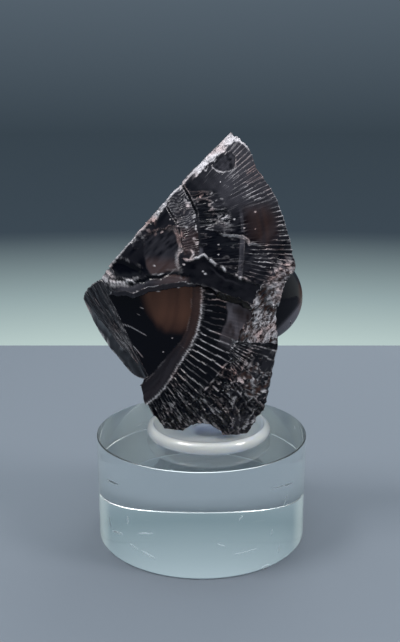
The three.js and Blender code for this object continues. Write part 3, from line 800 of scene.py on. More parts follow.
# at is the point of impact and out the outward normal there. toward is the
# middle of the fan. fan packs a share of the columns between two angles, and
# knots says how far out each share of the rings lies.
BREAKS = {
    "upper": dict(
        at=(-11.2, -8.6, 71), out=(-0.16, -0.95, 0.2), toward=(1, 0, 0.1),
        surface=upper_break, columns=390, rings=184, fan=(-40, 62, 0.78),
        knots=[(0, 0), (0.12, 7), (0.93, 34), (1, 44)]),
    "lower": dict(
        at=(-24.4, -6.3, 61.5), out=(-0.15, -0.985, -0.02), toward=(1, 0, -0.75),
        surface=lower_break, columns=330, rings=200, fan=(-50, 46, 0.86),
        knots=[(0, 0), (0.18, 20), (0.95, 47), (1, 60)]),
    "right_notch": dict(
        at=(17, -6.8, 53), out=(0.38, -0.89, -0.25), toward=(-1, 0, -1), surface=right_notch,
        columns=150, rings=70, knots=[(0, 0), (1, 18)]),
    "right_foot": dict(
        at=(0, -13.6, 53), out=(0.45, -0.89, -0.05), toward=(0.7, 0, -1), surface=right_foot,
        columns=220, rings=124, fan=(-60, 80, 0.8), knots=[(0, 0), (1, 36)]),
    "left_facet": dict(
        at=(-11.8, -7.1, 39.5), out=(-0.719, -0.611, -0.33), toward=(-0.5, 0.1, 1),
        surface=left_facet, columns=150, rings=76, fan=(-25, 25, 0.8), knots=[(0, 0), (1, 40)]),
    "right_side": dict(
        at=(15.6, -5.5, 40), out=(0.9, -0.38, -0.15), toward=(0, 0, 1),
        surface=plain_break(-150, grain=0.3, seed=75), columns=90, rings=36,
        knots=[(0, 0), (1, 14)]),
    "corner": dict(
        at=(-23.2, -5.9, 61.6), out=(-0.62, -0.72, 0.2), toward=(0, 0, 1),
        surface=gritty_break(300, 0.45, 78), columns=60, rings=20, knots=[(0, 0), (1, 5.5)]),
    "upper_left_back": dict(
        at=(-3, -4.4, 85.2), out=(-0.65, 0.54, 0.54), toward=(-0.6, 0.6, -0.6),
        surface=plain_break(-100, [(12, 1.6, 0.14), (19, 1.6, 0.16)], (2, 9, 16, 0.1), 0.05, 80),
        columns=170, rings=60, fan=(-60, 60, 0.7), knots=[(0, 0), (1, 31)]),
    "upper_right_back": dict(
        at=(17, -6.6, 78), out=(0.75, 0.55, 0.22), toward=(0, 0.4, 1),
        surface=plain_break(90, [], (3.2, 8, 14, 0.3), 0.08, 85),
        columns=180, rings=60, knots=[(0, 0), (0.9, 32), (1, 45)]),
    "lower_left_back": dict(
        at=(-24, 8, 52), out=(-0.52, 0.75, -0.4), toward=(0.7, 0.2, -0.6),
        surface=plain_break(140, [(11, 1.2, 0.35), (17, 1.2, 0.4)], (2.6, 18, 26, 0.25), 0.06, 90),
        columns=170, rings=64, fan=(-60, 60, 0.7), knots=[(0, 0), (0.9, 42), (1, 60)]),
    "lower_back": dict(
        at=(2, 4, 30), out=(0.1, 0.84, -0.53), toward=(0, 0.5, 1),
        surface=plain_break(-90, [], (4.4, 6, 16, 0.35), 0.12, 95),
        columns=140, rings=60, knots=[(0, 0), (0.85, 30), (1, 60)]),
    "back": dict(
        at=(4, 5, 86), out=(0.04, 0.98, 0.14), toward=(0, 0, -1),
        surface=plain_break(-200, [(14, 1.4, 0.4), (21, 1.4, 0.4), (29, 1.4, 0.5), (38, 1.6, 0.5)],
                            (2.4, 28, 38, 0.3), 0.06, 100),
        columns=200, rings=96, fan=(-50, 50, 0.7), knots=[(0, 0), (0.95, 58), (1, 75)]),
    "underside": dict(
        at=(0, -2, FEET_BOTTOM), out=(-FEET_TILT, 0, -1), toward=(1, 0, 0),
        surface=gritty_break(900, 0.12, 105), columns=90, rings=40, knots=[(0, 0), (1, 30)]),
}


def break_axes(out, toward):
    out = Vector(out).normalized()
    along = Vector(toward)
    along = (along - out * along.dot(out)).normalized()
    return np.array(out), np.array(along), np.array(out.cross(along))


def upper_depth(x, z):
    """Depth y of the upper break's plain bulge over x, z."""
    (ax, ay, az), (ox, oy, oz) = BREAKS["upper"]["at"], BREAKS["upper"]["out"]
    dx, dz = x - ax, z - az
    return ay - (ox * dx + oz * dz + (dx * dx + dz * dz) / (2 * UPPER_BEND)) / oy


# ------------------------------------------------------------------ mesh helpers


def mesh_points(mesh):
    points = np.empty(len(mesh.vertices) * 3)
    mesh.vertices.foreach_get("co", points)
    return points.reshape(-1, 3)


def as_object(bm, name, closed=True):
    if closed:
        bmesh.ops.recalc_face_normals(bm, faces=bm.faces)
    mesh = bpy.data.meshes.new(name)
    bm.to_mesh(mesh)
    bm.free()
    made = bpy.data.objects.new(name, mesh)
    bpy.context.scene.collection.objects.link(made)
    return made


def write_finish(mesh, wear, haze, tint):
    for name, values in (("wear", wear), ("haze", haze), ("tint", tint)):
        layer = mesh.attributes.new(name, "FLOAT", "POINT")
        layer.data.foreach_set("value", np.clip(values, 0, 1).astype(np.float32))


def break_cutter(name, at, out, toward, surface, columns, rings, knots, fan=None):
    """The cutter of one break: a turned dish whose floor is the break, and
    which fills everything outside it."""
    bm = bmesh.new()
    bmesh.ops.create_grid(bm, x_segments=rings, y_segments=columns, size=0.5)
    shares, reaches = zip(*knots)
    first, last, packed = fan or (-90, 90, 0.5)
    left = (1 - packed) * (first + 180) / (360 - last + first)
    columns_at, turns = (0, left, left + packed, 1), (-180, first, last, 180)
    for vert in bm.verts:
        r = float(np.interp(vert.co.x + 0.5, shares, reaches))
        turn = math.radians(float(np.interp(vert.co.y + 0.5, columns_at, turns)))
        vert.co = (r * math.cos(turn), r * math.sin(turn), 0)
    bmesh.ops.remove_doubles(bm, verts=bm.verts, dist=1e-5)
    rim = [edge for edge in bm.edges if edge.is_boundary]
    wall = bmesh.ops.extrude_edge_only(bm, edges=rim)["geom"]
    top = [item for item in wall if isinstance(item, bmesh.types.BMVert)]
    bmesh.ops.translate(bm, verts=top, vec=(0, 0, CUTTER_WALL))
    bmesh.ops.holes_fill(bm, edges=[edge for edge in bm.edges if edge.is_boundary], sides=0)
    cutter = as_object(bm, name)

    flat = mesh_points(cutter.data)
    normal, along, across = break_axes(out, toward)
    spot = np.array(at) + np.outer(flat[:, 0], along) + np.outer(flat[:, 1], across)
    p = SimpleNamespace(
        r=np.hypot(flat[:, 0], flat[:, 1]),
        angle=np.degrees(np.arctan2(flat[:, 1], flat[:, 0])),
        x=spot[:, 0], y=spot[:, 1], z=spot[:, 2])
    height, wear, haze, tint = surface(p)
    height = np.where(flat[:, 2] > 1, CUTTER_WALL, height)
    spot += np.outer(height, normal)
    cutter.data.vertices.foreach_set("co", spot.ravel())
    write_finish(cutter.data, wear, haze, tint)
    return cutter


def prism(name, outline, depths, place):
    """A closed outline in x and z carried from front to back, step by step.
    place moves the points of the carried sides."""
    bm = bmesh.new()
    ring = [bm.verts.new((x, depths[0], z)) for x, z in outline]
    edges = [bm.edges.new(pair) for pair in zip(ring, ring[1:] + ring[:1])]
    for near, far in zip(depths, depths[1:]):
        made = bmesh.ops.extrude_edge_only(bm, edges=edges)["geom"]
        edges = [item for item in made if isinstance(item, bmesh.types.BMEdge)]
        edges = [edge for edge in edges if edge.is_boundary]
        moved = [item for item in made if isinstance(item, bmesh.types.BMVert)]
        bmesh.ops.translate(bm, verts=moved, vec=(0, far - near, 0))
    bmesh.ops.holes_fill(bm, edges=[edge for edge in bm.edges if edge.is_boundary], sides=0)
    made = as_object(bm, name)
    points = mesh_points(made.data)
    moved, wear, haze = place(points[:, 0], points[:, 1], points[:, 2])
    made.data.vertices.foreach_set("co", np.stack(moved, axis=1).ravel())
    write_finish(made.data, wear, haze, 0 * haze)
    return made


def spaced(corners, step, closed=False):
    """Points on a broken line, about step apart, with what each corner carries."""
    ends = corners[1:] + (corners[:1] if closed else [])
    points = []
    for start, end in zip(corners, ends):
        start, end = np.array(start, float), np.array(end, float)
        count = max(1, round(float(np.hypot(*(end - start)[:2])) / step))
        points += [start + (end - start) * k / count for k in range(count)]
    return points + ([] if closed else [np.array(corners[-1], float)])


def cut(stone, tool, operation="DIFFERENCE"):
    """Cuts the tool out of the stone, or joins it on, and deletes the tool."""
    change = stone.modifiers.new("cut", "BOOLEAN")
    change.operation = operation
    change.solver = "MANIFOLD"
    change.object = tool
    graph = bpy.context.evaluated_depsgraph_get()
    shaped = bpy.data.meshes.new_from_object(stone.evaluated_get(graph))
    stone.modifiers.remove(change)
    if not shaped.polygons:
        raise RuntimeError(f"the cut with {tool.name} left nothing of {stone.name}")
    stone.data = shaped
    bpy.data.objects.remove(tool)


# ------------------------------------------------------------------ stone


def make_blank():
    rim = spaced(RIM, RIM_STEP, closed=True)
    spots = np.array(rim)
    along = np.arange(len(rim)) * RIM_STEP
    ridge = (spots[:, 0] < 4) & (spots[:, 1] > 62)
    chipping = np.where(ridge, RIDGE_CHIPPING, RIM_CHIPPING)
    level = 0 * along
    nudge = chipping * (noise(along * 0.45, level, 3) + 0.5 * noise(along * 1.3, level, 4) - 0.3)
    outward = spots[:, :2] - np.array(RIM_CENTRE)
    outward /= np.linalg.norm(outward, axis=1)[:, None]
    spots[:, :2] += outward * nudge[:, None]
    depths = list(np.arange(BLANK_FRONT, BLANK_BACK + SIDE_STEP, SIDE_STEP))
    mid_x, mid_z = RIM_CENTRE

    def place(x, y, z):
        apart = (x[:, None] - spots[:, 0]) ** 2 + (z[:, None] - spots[:, 1]) ** 2
        behind = y - spots[np.argmin(apart, axis=1), 2]
        grit = rough((x + z) * 0.4, y * 0.6 + (x - z) * 0.35, 7)
        draw = 1 - SIDE_DRAFT * np.maximum(behind, -0.8)
        draw = draw + SIDE_ROUGHNESS * grit * ramp(0, 3, np.abs(behind))
        moved = (mid_x + (x - mid_x) * draw, y, mid_z + (z - mid_z) * draw)
        return moved, 0.1 * ramp(0.2, 0.6, grit), 0.09 + 0.08 * grit

    return prism("black_stone", [(x, z) for x, z, _ in spots], depths, place)


def make_overhang():
    """Everything above the step line, down to a face that leans out below it."""
    line = np.array(spaced(STEP_LINE, 0.4))
    along, level = line[:, 0], 0 * line[:, 0]
    jag = 0.16 * noise(along * 1.4, level, 5) + 0.1 * noise(along * 3.3, level, 6)
    line[:, 1] += jag * (np.abs(along) < 40)
    outline = [tuple(point) for point in line] + [(60, FAR_TOP), (-60, FAR_TOP)]

    def place(x, y, z):
        lean = STEP_LEAN + (STEP_LEAN_RIGHT - STEP_LEAN) * ramp(0, 5, x)
        drop = (y - upper_depth(np.clip(x, -24, 16), 62)) * lean
        drop += 0.12 * rough(x * 1.2, y * 1.2, 8)
        # The face is painted grey on the left, a painted reflection, and kept black on the right,
        # painted shade.
        return (x, y, z - np.where(z < 100, drop, 0)), 0 * x, 0.4 * ramp(0, -3, x)

    return prism("overhang", outline, [-60, -30] + list(np.arange(-16, 4, 0.4)) + [30, 60], place)


def make_ledge(ledge, name, seed):
    """Everything on one side of a ledge, with a chipped face."""
    reach = np.arange(-30, 30.4, 0.4)
    flat = 0 * reach
    level = 0.2 * noise(reach * 0.9, flat, seed) + 0.08 * noise(reach * 2.5, flat, seed + 1)
    far = 40 * ledge.side
    turned = []
    for a, b in list(zip(reach, level)) + [(30.4, far), (-30.4, far)]:
        turned.append((ledge.x + a * math.cos(ledge.turn) + b * math.sin(ledge.turn),
                       ledge.z - a * math.sin(ledge.turn) + b * math.cos(ledge.turn)))

    def place(x, y, z):
        shake = 0.15 * rough(x * 0.9, y * 0.9 + z, seed + 2) * (np.abs(y) < 20)
        return (x, y, z + shake), 0.2 + 0 * x, 0.25 + 0 * x

    return prism(name, turned, [-40] + list(np.arange(-20, 12, 0.5)) + [40], place)


def make_arch():
    bm = bmesh.new()
    bmesh.ops.create_cone(
        bm, cap_ends=True, segments=72, radius1=ARCH.front, radius2=ARCH.back, depth=60)
    sides = [edge for edge in bm.edges if abs(edge.verts[0].co.z - edge.verts[1].co.z) > 1]
    bmesh.ops.subdivide_edges(bm, edges=sides, cuts=90)
    turn = Matrix.Rotation(-math.pi / 2, 4, "X")
    bmesh.ops.transform(bm, verts=bm.verts, matrix=Matrix.Translation((ARCH.x, 0, ARCH.z)) @ turn)
    arch = as_object(bm, "arch")
    points = mesh_points(arch.data)
    out = points - np.array((ARCH.x, 0, ARCH.z))
    turn = np.arctan2(out[:, 2], out[:, 0])
    grit = rough(turn * 4, points[:, 1] * 0.8, 9) * (np.abs(points[:, 1]) < 29)
    points[:, 0] += out[:, 0] * 0.05 * grit
    points[:, 2] += out[:, 2] * 0.05 * grit
    arch.data.vertices.foreach_set("co", points.ravel())
    write_finish(arch.data, 0.4 * ramp(0.2, 0.5, grit), 0.3 + 0 * grit, 0 * grit)
    return arch


def make_swelling(centre, radii):
    bm = bmesh.new()
    bmesh.ops.create_uvsphere(bm, u_segments=112, v_segments=72, radius=1)
    bmesh.ops.scale(bm, verts=bm.verts, vec=radii)
    bmesh.ops.translate(bm, verts=bm.verts, vec=centre)
    swelling = as_object(bm, "swelling")
    x, y, z = mesh_points(swelling.data).T
    front = ramp(*LOBE_FRONT, y)
    # Painted reflection of the floor: grey and rougher below the line.
    haze = 0.03 + 0.9 * ramp(0.8, -0.8, z - LOBE_REFLECTION_LINE[1] - (x - LOBE_REFLECTION_LINE[0])) * front
    blush = 0.7 * ramp(*LOBE_BLUSH, x) * ramp(-1, 0.3, noise(y * 0.5, z * 0.35, 115)) * front
    write_finish(swelling.data, 0 * x, haze, blush)
    return swelling


def cutter_of(name):
    return break_cutter(name.replace("_", " "), **BREAKS[name])


def drop_crumbs(bm):
    """Keeps the one body of the stone and deletes what the cuts left loose."""
    unseen = set(bm.verts)
    bodies = []
    while unseen:
        body = {unseen.pop()}
        border = list(body)
        while border:
            vert = border.pop()
            for edge in vert.link_edges:
                other = edge.other_vert(vert)
                if other in unseen:
                    unseen.discard(other)
                    body.add(other)
                    border.append(other)
        bodies.append(body)
    bodies.sort(key=len)
    loose = [vert for body in bodies[:-1] for vert in body]
    bmesh.ops.delete(bm, geom=loose, context="VERTS")


# Convex edges are painted white, as crushed glass and as painted highlights, from
# the first of these bends and fully so at the second. Low down, between the two
# heights of the feet, they are painted less white.
WORN_AND_GLINT_BENDS = (math.radians(24), math.radians(80))
WORN_AND_GLINT_HEIGHTS = (31, 50)
CREASE_BEND = math.radians(32)
SHORT_EDGE = 0.02
MERGE_DISTANCE = 0.004


def wear_edges(mesh):
    """Turns convex corners white, as on broken glass and as a painted highlight, and shades the
    mesh.
    """
    bm = bmesh.new()
    bm.from_mesh(mesh)
    bmesh.ops.remove_doubles(bm, verts=bm.verts, dist=MERGE_DISTANCE)
    bmesh.ops.dissolve_degenerate(bm, edges=bm.edges, dist=MERGE_DISTANCE / 2)
    drop_crumbs(bm)
    bm.normal_update()
    layer = bm.verts.layers.float["wear"]
    for face in bm.faces:
        face.smooth = True
    sharpness = {}
    for edge in bm.edges:
        if len(edge.link_faces) != 2:
            continue
        bend = edge.calc_face_angle_signed(0)
        if bend > WORN_AND_GLINT_BENDS[0] and edge.calc_length() > SHORT_EDGE:
            for vert in edge.verts:
                sharpness[vert] = max(sharpness.get(vert, 0), bend)
    verts = list(sharpness)
    x, y, z = np.array([vert.co for vert in verts]).T
    uneven = noise(x * 0.9 + y, z * 0.9 - y, 111) + 0.5 * noise(x * 2.9 - y, z * 2.9 + y, 112)
    bends = np.array(list(sharpness.values()))
    worn_and_glinting = ramp(*WORN_AND_GLINT_BENDS, bends) * (0.12 + 0.88 * ramp(-0.5, 0.6, uneven))
    worn_and_glinting *= 0.3 + 0.7 * ramp(*WORN_AND_GLINT_HEIGHTS, z)
    for vert, value in zip(verts, worn_and_glinting):
        vert[layer] = min(1, max(vert[layer], value))
    for edge in bm.edges:
        if len(edge.link_faces) == 2 and edge.calc_face_angle(0) > CREASE_BEND:
            edge.smooth = False
    bm.to_mesh(mesh)
    bm.free()


def make_stone():
    stone = make_blank()
    for name in ("upper_left_back", "upper_right_back"):
        cut(stone, cutter_of(name))
    for centre, radii in SWELLINGS:
        cut(stone, make_swelling(centre, radii), "UNION")
    for name in ("lower_left_back", "lower_back", "back"):
        cut(stone, cutter_of(name))
    for name in (
            "upper", "lower", "left_facet", "right_notch", "right_foot", "right_side", "corner"):
        cutter = cutter_of(name)
        if name == "lower":
            cut(cutter, make_overhang())
        if name == "left_facet":
            cut(cutter, make_ledge(LEFT_LEDGE, "left ledge", 121))
        if name == "right_foot":
            cut(cutter, make_ledge(RIGHT_LEDGE, "right ledge", 131))
        cut(stone, cutter)
    cut(stone, cutter_of("underside"))
    cut(stone, make_arch())
    wear_edges(stone.data)
    return stone


# ------------------------------------------------------------------ materials


# Depth of the bump of the stone's grain and of the block's marks.
GRAIN_DEPTH = 0.25 * MM
MARK_DEPTH = 0.2 * MM


def node_adder(tree):
    """A function that adds a node to the tree, sets its options, and gives each
    input its value or links it to the socket that stands in its place."""

    def add(kind, values=None, **settings):
        node = tree.nodes.new(kind)
        for key, value in settings.items():
            setattr(node, key, value)
        for key, value in (values or {}).items():
            if isinstance(value, bpy.types.NodeSocket):
                tree.links.new(value, node.inputs[key])
            else:
                node.inputs[key].default_value = value
        return node

    return add


def new_material(name):
    """A material with its Principled shader, and a function that adds nodes."""
    material = bpy.data.materials.new(name)
    material.use_nodes = True
    tree = material.node_tree
    return material, tree, tree.nodes["Principled BSDF"], node_adder(tree)


def solid(colour):
    """A colour with its alpha, as a node's socket takes it."""
    return (*colour, 1)


def mix_colour(add, share, first, second, blend="MIX"):
    node = add("ShaderNodeMix", {0: share, 6: first, 7: second}, data_type="RGBA", blend_type=blend)
    return node.outputs[2]


def stone_material(settings):
    """Black glass, duller where it is finely grained and pale where it is crushed. The pale also
    paints glints as highlights, and the grey and brown also paint reflections.
    """
    material, tree, shader, add = new_material("black_shungite")
    wear = add("ShaderNodeAttribute", attribute_name="wear").outputs["Fac"]
    haze = add("ShaderNodeAttribute", attribute_name="haze").outputs["Fac"]
    tint = add("ShaderNodeAttribute", attribute_name="tint").outputs["Fac"]
    place = add("ShaderNodeTexCoord").outputs["Object"]
    grain = add("ShaderNodeTexNoise", {
        "Vector": place, "Scale": 1400, "Detail": 6, "Roughness": 0.65})
    speck = add("ShaderNodeTexNoise", {"Vector": place, "Scale": 4200, "Detail": 3})
    cloud = add("ShaderNodeTexNoise", {"Vector": place, "Scale": 180, "Detail": 3})

    # The grey and brown mixed in here are partly painted reflections.
    body = mix_colour(add, haze, solid(settings.body_colour), solid(settings.haze_colour))
    browned = mix_colour(add, tint, body, solid(settings.tint_colour))
    spotty = add("ShaderNodeMapRange", {
        "Value": speck.outputs["Fac"], "From Min": 0.32, "From Max": 0.62, "To Min": 0.35,
        "To Max": 1.0})
    worn_and_glinting = add("ShaderNodeMath", {0: wear, 1: spotty.outputs[0]}, operation="MULTIPLY")
    blush = add("ShaderNodeTexNoise", {"Vector": place, "Scale": 130, "Detail": 2})
    rosy = add("ShaderNodeMapRange", {
        "Value": blush.outputs["Fac"], "From Min": 0.5, "From Max": 0.68})
    # The pale crushed colour, rosy in places, also paints glints as highlights.
    crushed = mix_colour(
        add, rosy.outputs[0], solid(settings.wear_colour), solid(settings.warm_wear_and_glint_colour))
    colour = mix_colour(add, worn_and_glinting.outputs[0], browned, crushed)
    tree.links.new(colour, shader.inputs["Base Color"])

    dull = add("ShaderNodeMath", {0: wear, 1: 0.45, 2: 0.05}, operation="MULTIPLY_ADD")
    duller = add("ShaderNodeMath", {0: haze, 1: 0.35, 2: dull.outputs[0]}, operation="MULTIPLY_ADD")
    cloudy = add("ShaderNodeMath", {0: cloud.outputs["Fac"], 1: 0.05, 2: duller.outputs[0]},
                 operation="MULTIPLY_ADD")
    tree.links.new(cloudy.outputs[0], shader.inputs["Roughness"])

    force = add("ShaderNodeMath", {0: haze, 1: 0.5, 2: 0.06}, operation="MULTIPLY_ADD")
    force = add("ShaderNodeMath", {0: wear, 1: 0.5, 2: force.outputs[0]}, operation="MULTIPLY_ADD")
    bump = add("ShaderNodeBump", {"Strength": force.outputs[0], "Distance": GRAIN_DEPTH,
                                  "Height": grain.outputs["Fac"]})
    tree.links.new(bump.outputs["Normal"], shader.inputs["Normal"])
    shader.inputs["IOR"].default_value = 1.5
    shader.inputs["Specular IOR Level"].default_value = 0.15
    return material


# Tints of the opal glass: in its warm clouds; towards its outline as seen, a painted
# blue sheen; and in its dome, a painted blue shade, which ends between two distances
# from the middle of the dish.
OPAL_CREAM = (0.96, 0.96, 0.86)
OPAL_OUTLINE_SHEEN = (0.66, 0.75, 1.0)
OPAL_DOME_SHADE = (0.66, 0.73, 1)
DOME_SHADE_END = (3 * MM, 5 * MM)


def opal_material(settings):
    """Milky glass with warm clouds, a painted blue sheen towards its outline and painted blue shade
    in its dome.
    """
    material, tree, shader, add = new_material("opal_glass")
    place = add("ShaderNodeTexCoord").outputs["Object"]
    cloud = add("ShaderNodeTexNoise", {
        "Vector": place, "Scale": 70, "Detail": 2, "Distortion": 0.6})
    warm = add("ShaderNodeMapRange", {
        "Value": cloud.outputs["Fac"], "From Min": 0.42, "From Max": 0.62})
    # Painted sheen: bluer where the surface turns away from the view.
    edge = add("ShaderNodeLayerWeight", {"Blend": 0.5})
    cream = mix_colour(add, warm.outputs[0], solid(settings.opal_colour), solid(OPAL_CREAM))
    colour = mix_colour(add, edge.outputs["Facing"], cream, solid(OPAL_OUTLINE_SHEEN))
    # Painted shade: the dome is painted a darker blue.
    centre = (DISH_BOX[0] + DISH_BOX[1]) / 2
    away = add("ShaderNodeVectorMath", {0: place, 1: centre}, operation="DISTANCE")
    dome = add("ShaderNodeMapRange", {
        "Value": away.outputs["Value"], "From Min": DOME_SHADE_END[0], "From Max": DOME_SHADE_END[1],
        "To Min": 1.0, "To Max": 0.0})
    colour = mix_colour(add, dome.outputs[0], colour, solid(OPAL_DOME_SHADE))
    tree.links.new(colour, shader.inputs["Base Color"])
    shader.inputs["Roughness"].default_value = 0.26
    shader.inputs["IOR"].default_value = 1.48
    shader.inputs["Transmission Weight"].default_value = 0.6
    shader.inputs["Subsurface Weight"].default_value = 1.0
    shader.inputs["Subsurface Radius"].default_value = (0.012, 0.013, 0.016)
    shader.inputs["Subsurface Scale"].default_value = 1.0
    shader.inputs["Coat Weight"].default_value = 0.8
    shader.inputs["Coat Roughness"].default_value = 0.03
    return material


# Scratches and nicks on the wall of the block: degrees round from the front,
# height, tilt in degrees, length and width.
MARKS = [
    (-52.7, 18.4, 7, 6.5, 0.6), (46.9, 18.5, -9, 10, 0.35), (49.4, 14.9, 60, 3.2, 0.3),
    (-40.5, 11.1, 88, 2, 0.3), (-57, 7.9, -66, 3.2, 0.35), (-49.6, 6.6, 13, 4.6, 0.55),
    (-29, 9.4, 13, 4.5, 0.35), (-36.5, 5.2, -18, 2.8, 0.4), (-27.5, 4.4, -15, 4, 0.6),
    (10.2, 8.1, -30, 2.2, 0.3), (44.5, 3.7, 80, 2.2, 0.3), (22.8, 5.7, 1, 6.5, 0.25),
    (38.9, 8.5, 75, 1.8, 0.25), (20, 13.9, 50, 1.6, 0.25), (35.2, 0.6, 2, 2.4, 0.8),
    (160, 14, 20, 5, 0.4), (-140, 6, -40, 4, 0.4), (110, 16, 80, 2.6, 0.3), (-100, 12, 10, 5, 0.3),
]
# Only the outermost wall carries them, this deep.
MARKED_WALL = 0.3 * MM


def acrylic_material(settings):
    """Clear acrylic with the scratches and nicks of a used stand."""
    material, tree, shader, add = new_material("clear_acrylic")
    place = add("ShaderNodeTexCoord").outputs["Object"]
    parts = add("ShaderNodeSeparateXYZ", {0: place})
    front = add("ShaderNodeMath", {0: parts.outputs["Y"], 1: -1}, operation="MULTIPLY")
    turn = add("ShaderNodeMath", {0: parts.outputs["X"], 1: front.outputs[0]}, operation="ARCTAN2")
    round_wall = add("ShaderNodeMath", {0: turn.outputs[0], 1: settings.block_diameter / 2},
                     operation="MULTIPLY")
    wall = add("ShaderNodeCombineXYZ", {"X": round_wall.outputs[0], "Y": parts.outputs["Z"]})
    shake = add("ShaderNodeTexNoise", {"Vector": wall.outputs[0], "Scale": 900, "Detail": 1})
    moved = add("ShaderNodeVectorMath", {
        0: shake.outputs["Color"], 1: (0.0003,) * 3, 2: wall.outputs[0]}, operation="MULTIPLY_ADD")
    nearest = None
    for degrees, height, tilt, length, width in MARKS:
        spot = (math.radians(degrees) * settings.block_diameter / 2, height * MM, 0)
        local = add("ShaderNodeMapping", {
            "Vector": moved.outputs[0], "Location": spot, "Rotation": (0, 0, math.radians(tilt)),
            "Scale": (length * MM / 2, width * MM / 2, 1)}, vector_type="TEXTURE")
        away = add("ShaderNodeVectorMath", {0: local.outputs[0]}, operation="LENGTH")
        away = away.outputs["Value"]
        nearest = away if nearest is None else add(
            "ShaderNodeMath", {0: nearest, 1: away}, operation="MINIMUM").outputs[0]
    mark = add("ShaderNodeMapRange", {
        "Value": nearest, "From Min": 0.5, "From Max": 1.0, "To Min": 1.0,
        "To Max": 0.0}).outputs[0]
    middle = add("ShaderNodeVectorMath", {0: place, 1: (1, 1, 0)}, operation="MULTIPLY")
    reach = add("ShaderNodeVectorMath", {0: middle.outputs[0]}, operation="LENGTH")
    outer = add("ShaderNodeMath", {
        0: reach.outputs["Value"], 1: settings.block_diameter / 2 - MARKED_WALL},
        operation="GREATER_THAN").outputs[0]
    mark = add("ShaderNodeMath", {0: mark, 1: outer}, operation="MULTIPLY").outputs[0]
    edge = add("ShaderNodeAttribute", attribute_name="edge").outputs["Fac"]
    dull = add("ShaderNodeMath", {0: mark, 1: 0.6, 2: 0.012}, operation="MULTIPLY_ADD")
    dull = add("ShaderNodeMath", {0: edge, 1: 0.25, 2: dull.outputs[0]}, operation="MULTIPLY_ADD")
    tree.links.new(dull.outputs[0], shader.inputs["Roughness"])
    bump = add("ShaderNodeBump", {"Strength": 0.15, "Distance": MARK_DEPTH, "Height": mark})
    tree.links.new(bump.outputs["Normal"], shader.inputs["Normal"])
    shader.inputs["Base Color"].default_value = solid(settings.acrylic_colour)
    shader.inputs["IOR"].default_value = 1.49
    shader.inputs["Transmission Weight"].default_value = 1.0
    return material


# ------------------------------------------------------------------ holder

# Radius of the block's polished edges, and width of the guard line beside them.
BLOCK_EDGE = 0.3
EDGE_GUARD = 0.03
# The dish: how far its foot stands over the block, its floor over its foot, the
# radius of its dome, and how high the dome stands over the dish's lowest point.
DISH_LIFT = 0.02
FLOOR_THICKNESS = 1.0
DOME_RADIUS = 3.8
DOME_HEIGHT = 2.2


def turned_piece(name, profile, centre, steps):
    """A solid turned about an upright line, from its profile of (radius, height)."""
    bm = bmesh.new()
    verts = [bm.verts.new((radius, 0, height)) for radius, height in profile]
    edges = [bm.edges.new(pair) for pair in zip(verts, verts[1:])]
    bmesh.ops.spin(
        bm, geom=verts + edges, cent=(0, 0, 0), axis=(0, 0, 1), angle=math.tau, steps=steps,
        use_merge=True)
    bmesh.ops.remove_doubles(bm, verts=bm.verts, dist=1e-4)
    for face in bm.faces:
        face.smooth = True
    bmesh.ops.translate(bm, verts=bm.verts, vec=centre)
    return as_object(bm, name)


def arc(cx, cz, radius, start, end, count):
    turns = np.radians(np.linspace(start, end, count))
    return [(cx + radius * math.cos(t), cz + radius * math.sin(t)) for t in turns]


def curve(start, pull, end, count):
    """Points on a quadratic curve after its start."""
    points = []
    for k in range(1, count + 1):
        t = k / count
        points.append(tuple(
            (1 - t) ** 2 * a + 2 * t * (1 - t) * b + t * t * c
            for a, b, c in zip(start, pull, end)))
    return points


def make_block(settings):
    radius = settings.block_diameter / MM / 2
    height = settings.block_height / MM
    edge, guard = BLOCK_EDGE, EDGE_GUARD
    profile = [(0, 0), (radius - edge - guard, 0)]
    profile += arc(radius - edge, edge, edge, -90, 0, 5)
    profile += [(radius, edge + guard), (radius, height - edge - guard)]
    profile += arc(radius - edge, height - edge, edge, 0, 90, 5)
    profile += [(radius - edge - guard, height), (0, height)]
    block = turned_piece("acrylic_round_block", profile, (0, 0, 0), 192)
    points = mesh_points(block.data)
    outer = np.hypot(points[:, 0], points[:, 1]) > radius - edge - guard / 2
    rounded = np.abs(points[:, 2] - height / 2) > height / 2 - edge - guard / 2
    layer = block.data.attributes.new("edge", "FLOAT", "POINT")
    layer.data.foreach_set("value", (outer & rounded).astype(np.float32))
    return block


def make_dish(settings):
    radius = settings.dish_diameter / MM / 2
    low, high = DISH_BOX
    centre = ((low.x + high.x) / 2 / MM, (low.y + high.y) / 2 / MM, 0)
    foot = settings.block_height / MM + DISH_LIFT
    top = high.z / MM
    lip = (top - foot) / 2
    floor = foot + FLOOR_THICKNESS
    boss, crown = DOME_RADIUS, low.z / MM + DOME_HEIGHT
    profile = [(0, foot), (radius - lip - 0.5, foot)]
    profile += arc(radius - lip, foot + lip, lip, -90, 90, 18)
    profile += curve(profile[-1], (radius - 2, floor), (radius - 4, floor), 10)
    profile += [((radius + boss) / 2, floor), (boss + 1.4, floor)]
    profile += curve(profile[-1], (boss, floor), (boss * 0.8, (crown + floor) / 2), 6)
    profile += curve(profile[-1], (boss * 0.5, crown), (0, crown), 8)
    return turned_piece("opal_dish", profile, centre, 128)


# ------------------------------------------------------------------ stage

# How far the floor reaches, in metres, and how far it lies under the block.
FLOOR_FAR, FLOOR_NEAR, FLOOR_WIDE = 0.171, -0.8, 1.6
FLOOR_DROP = 0.0001
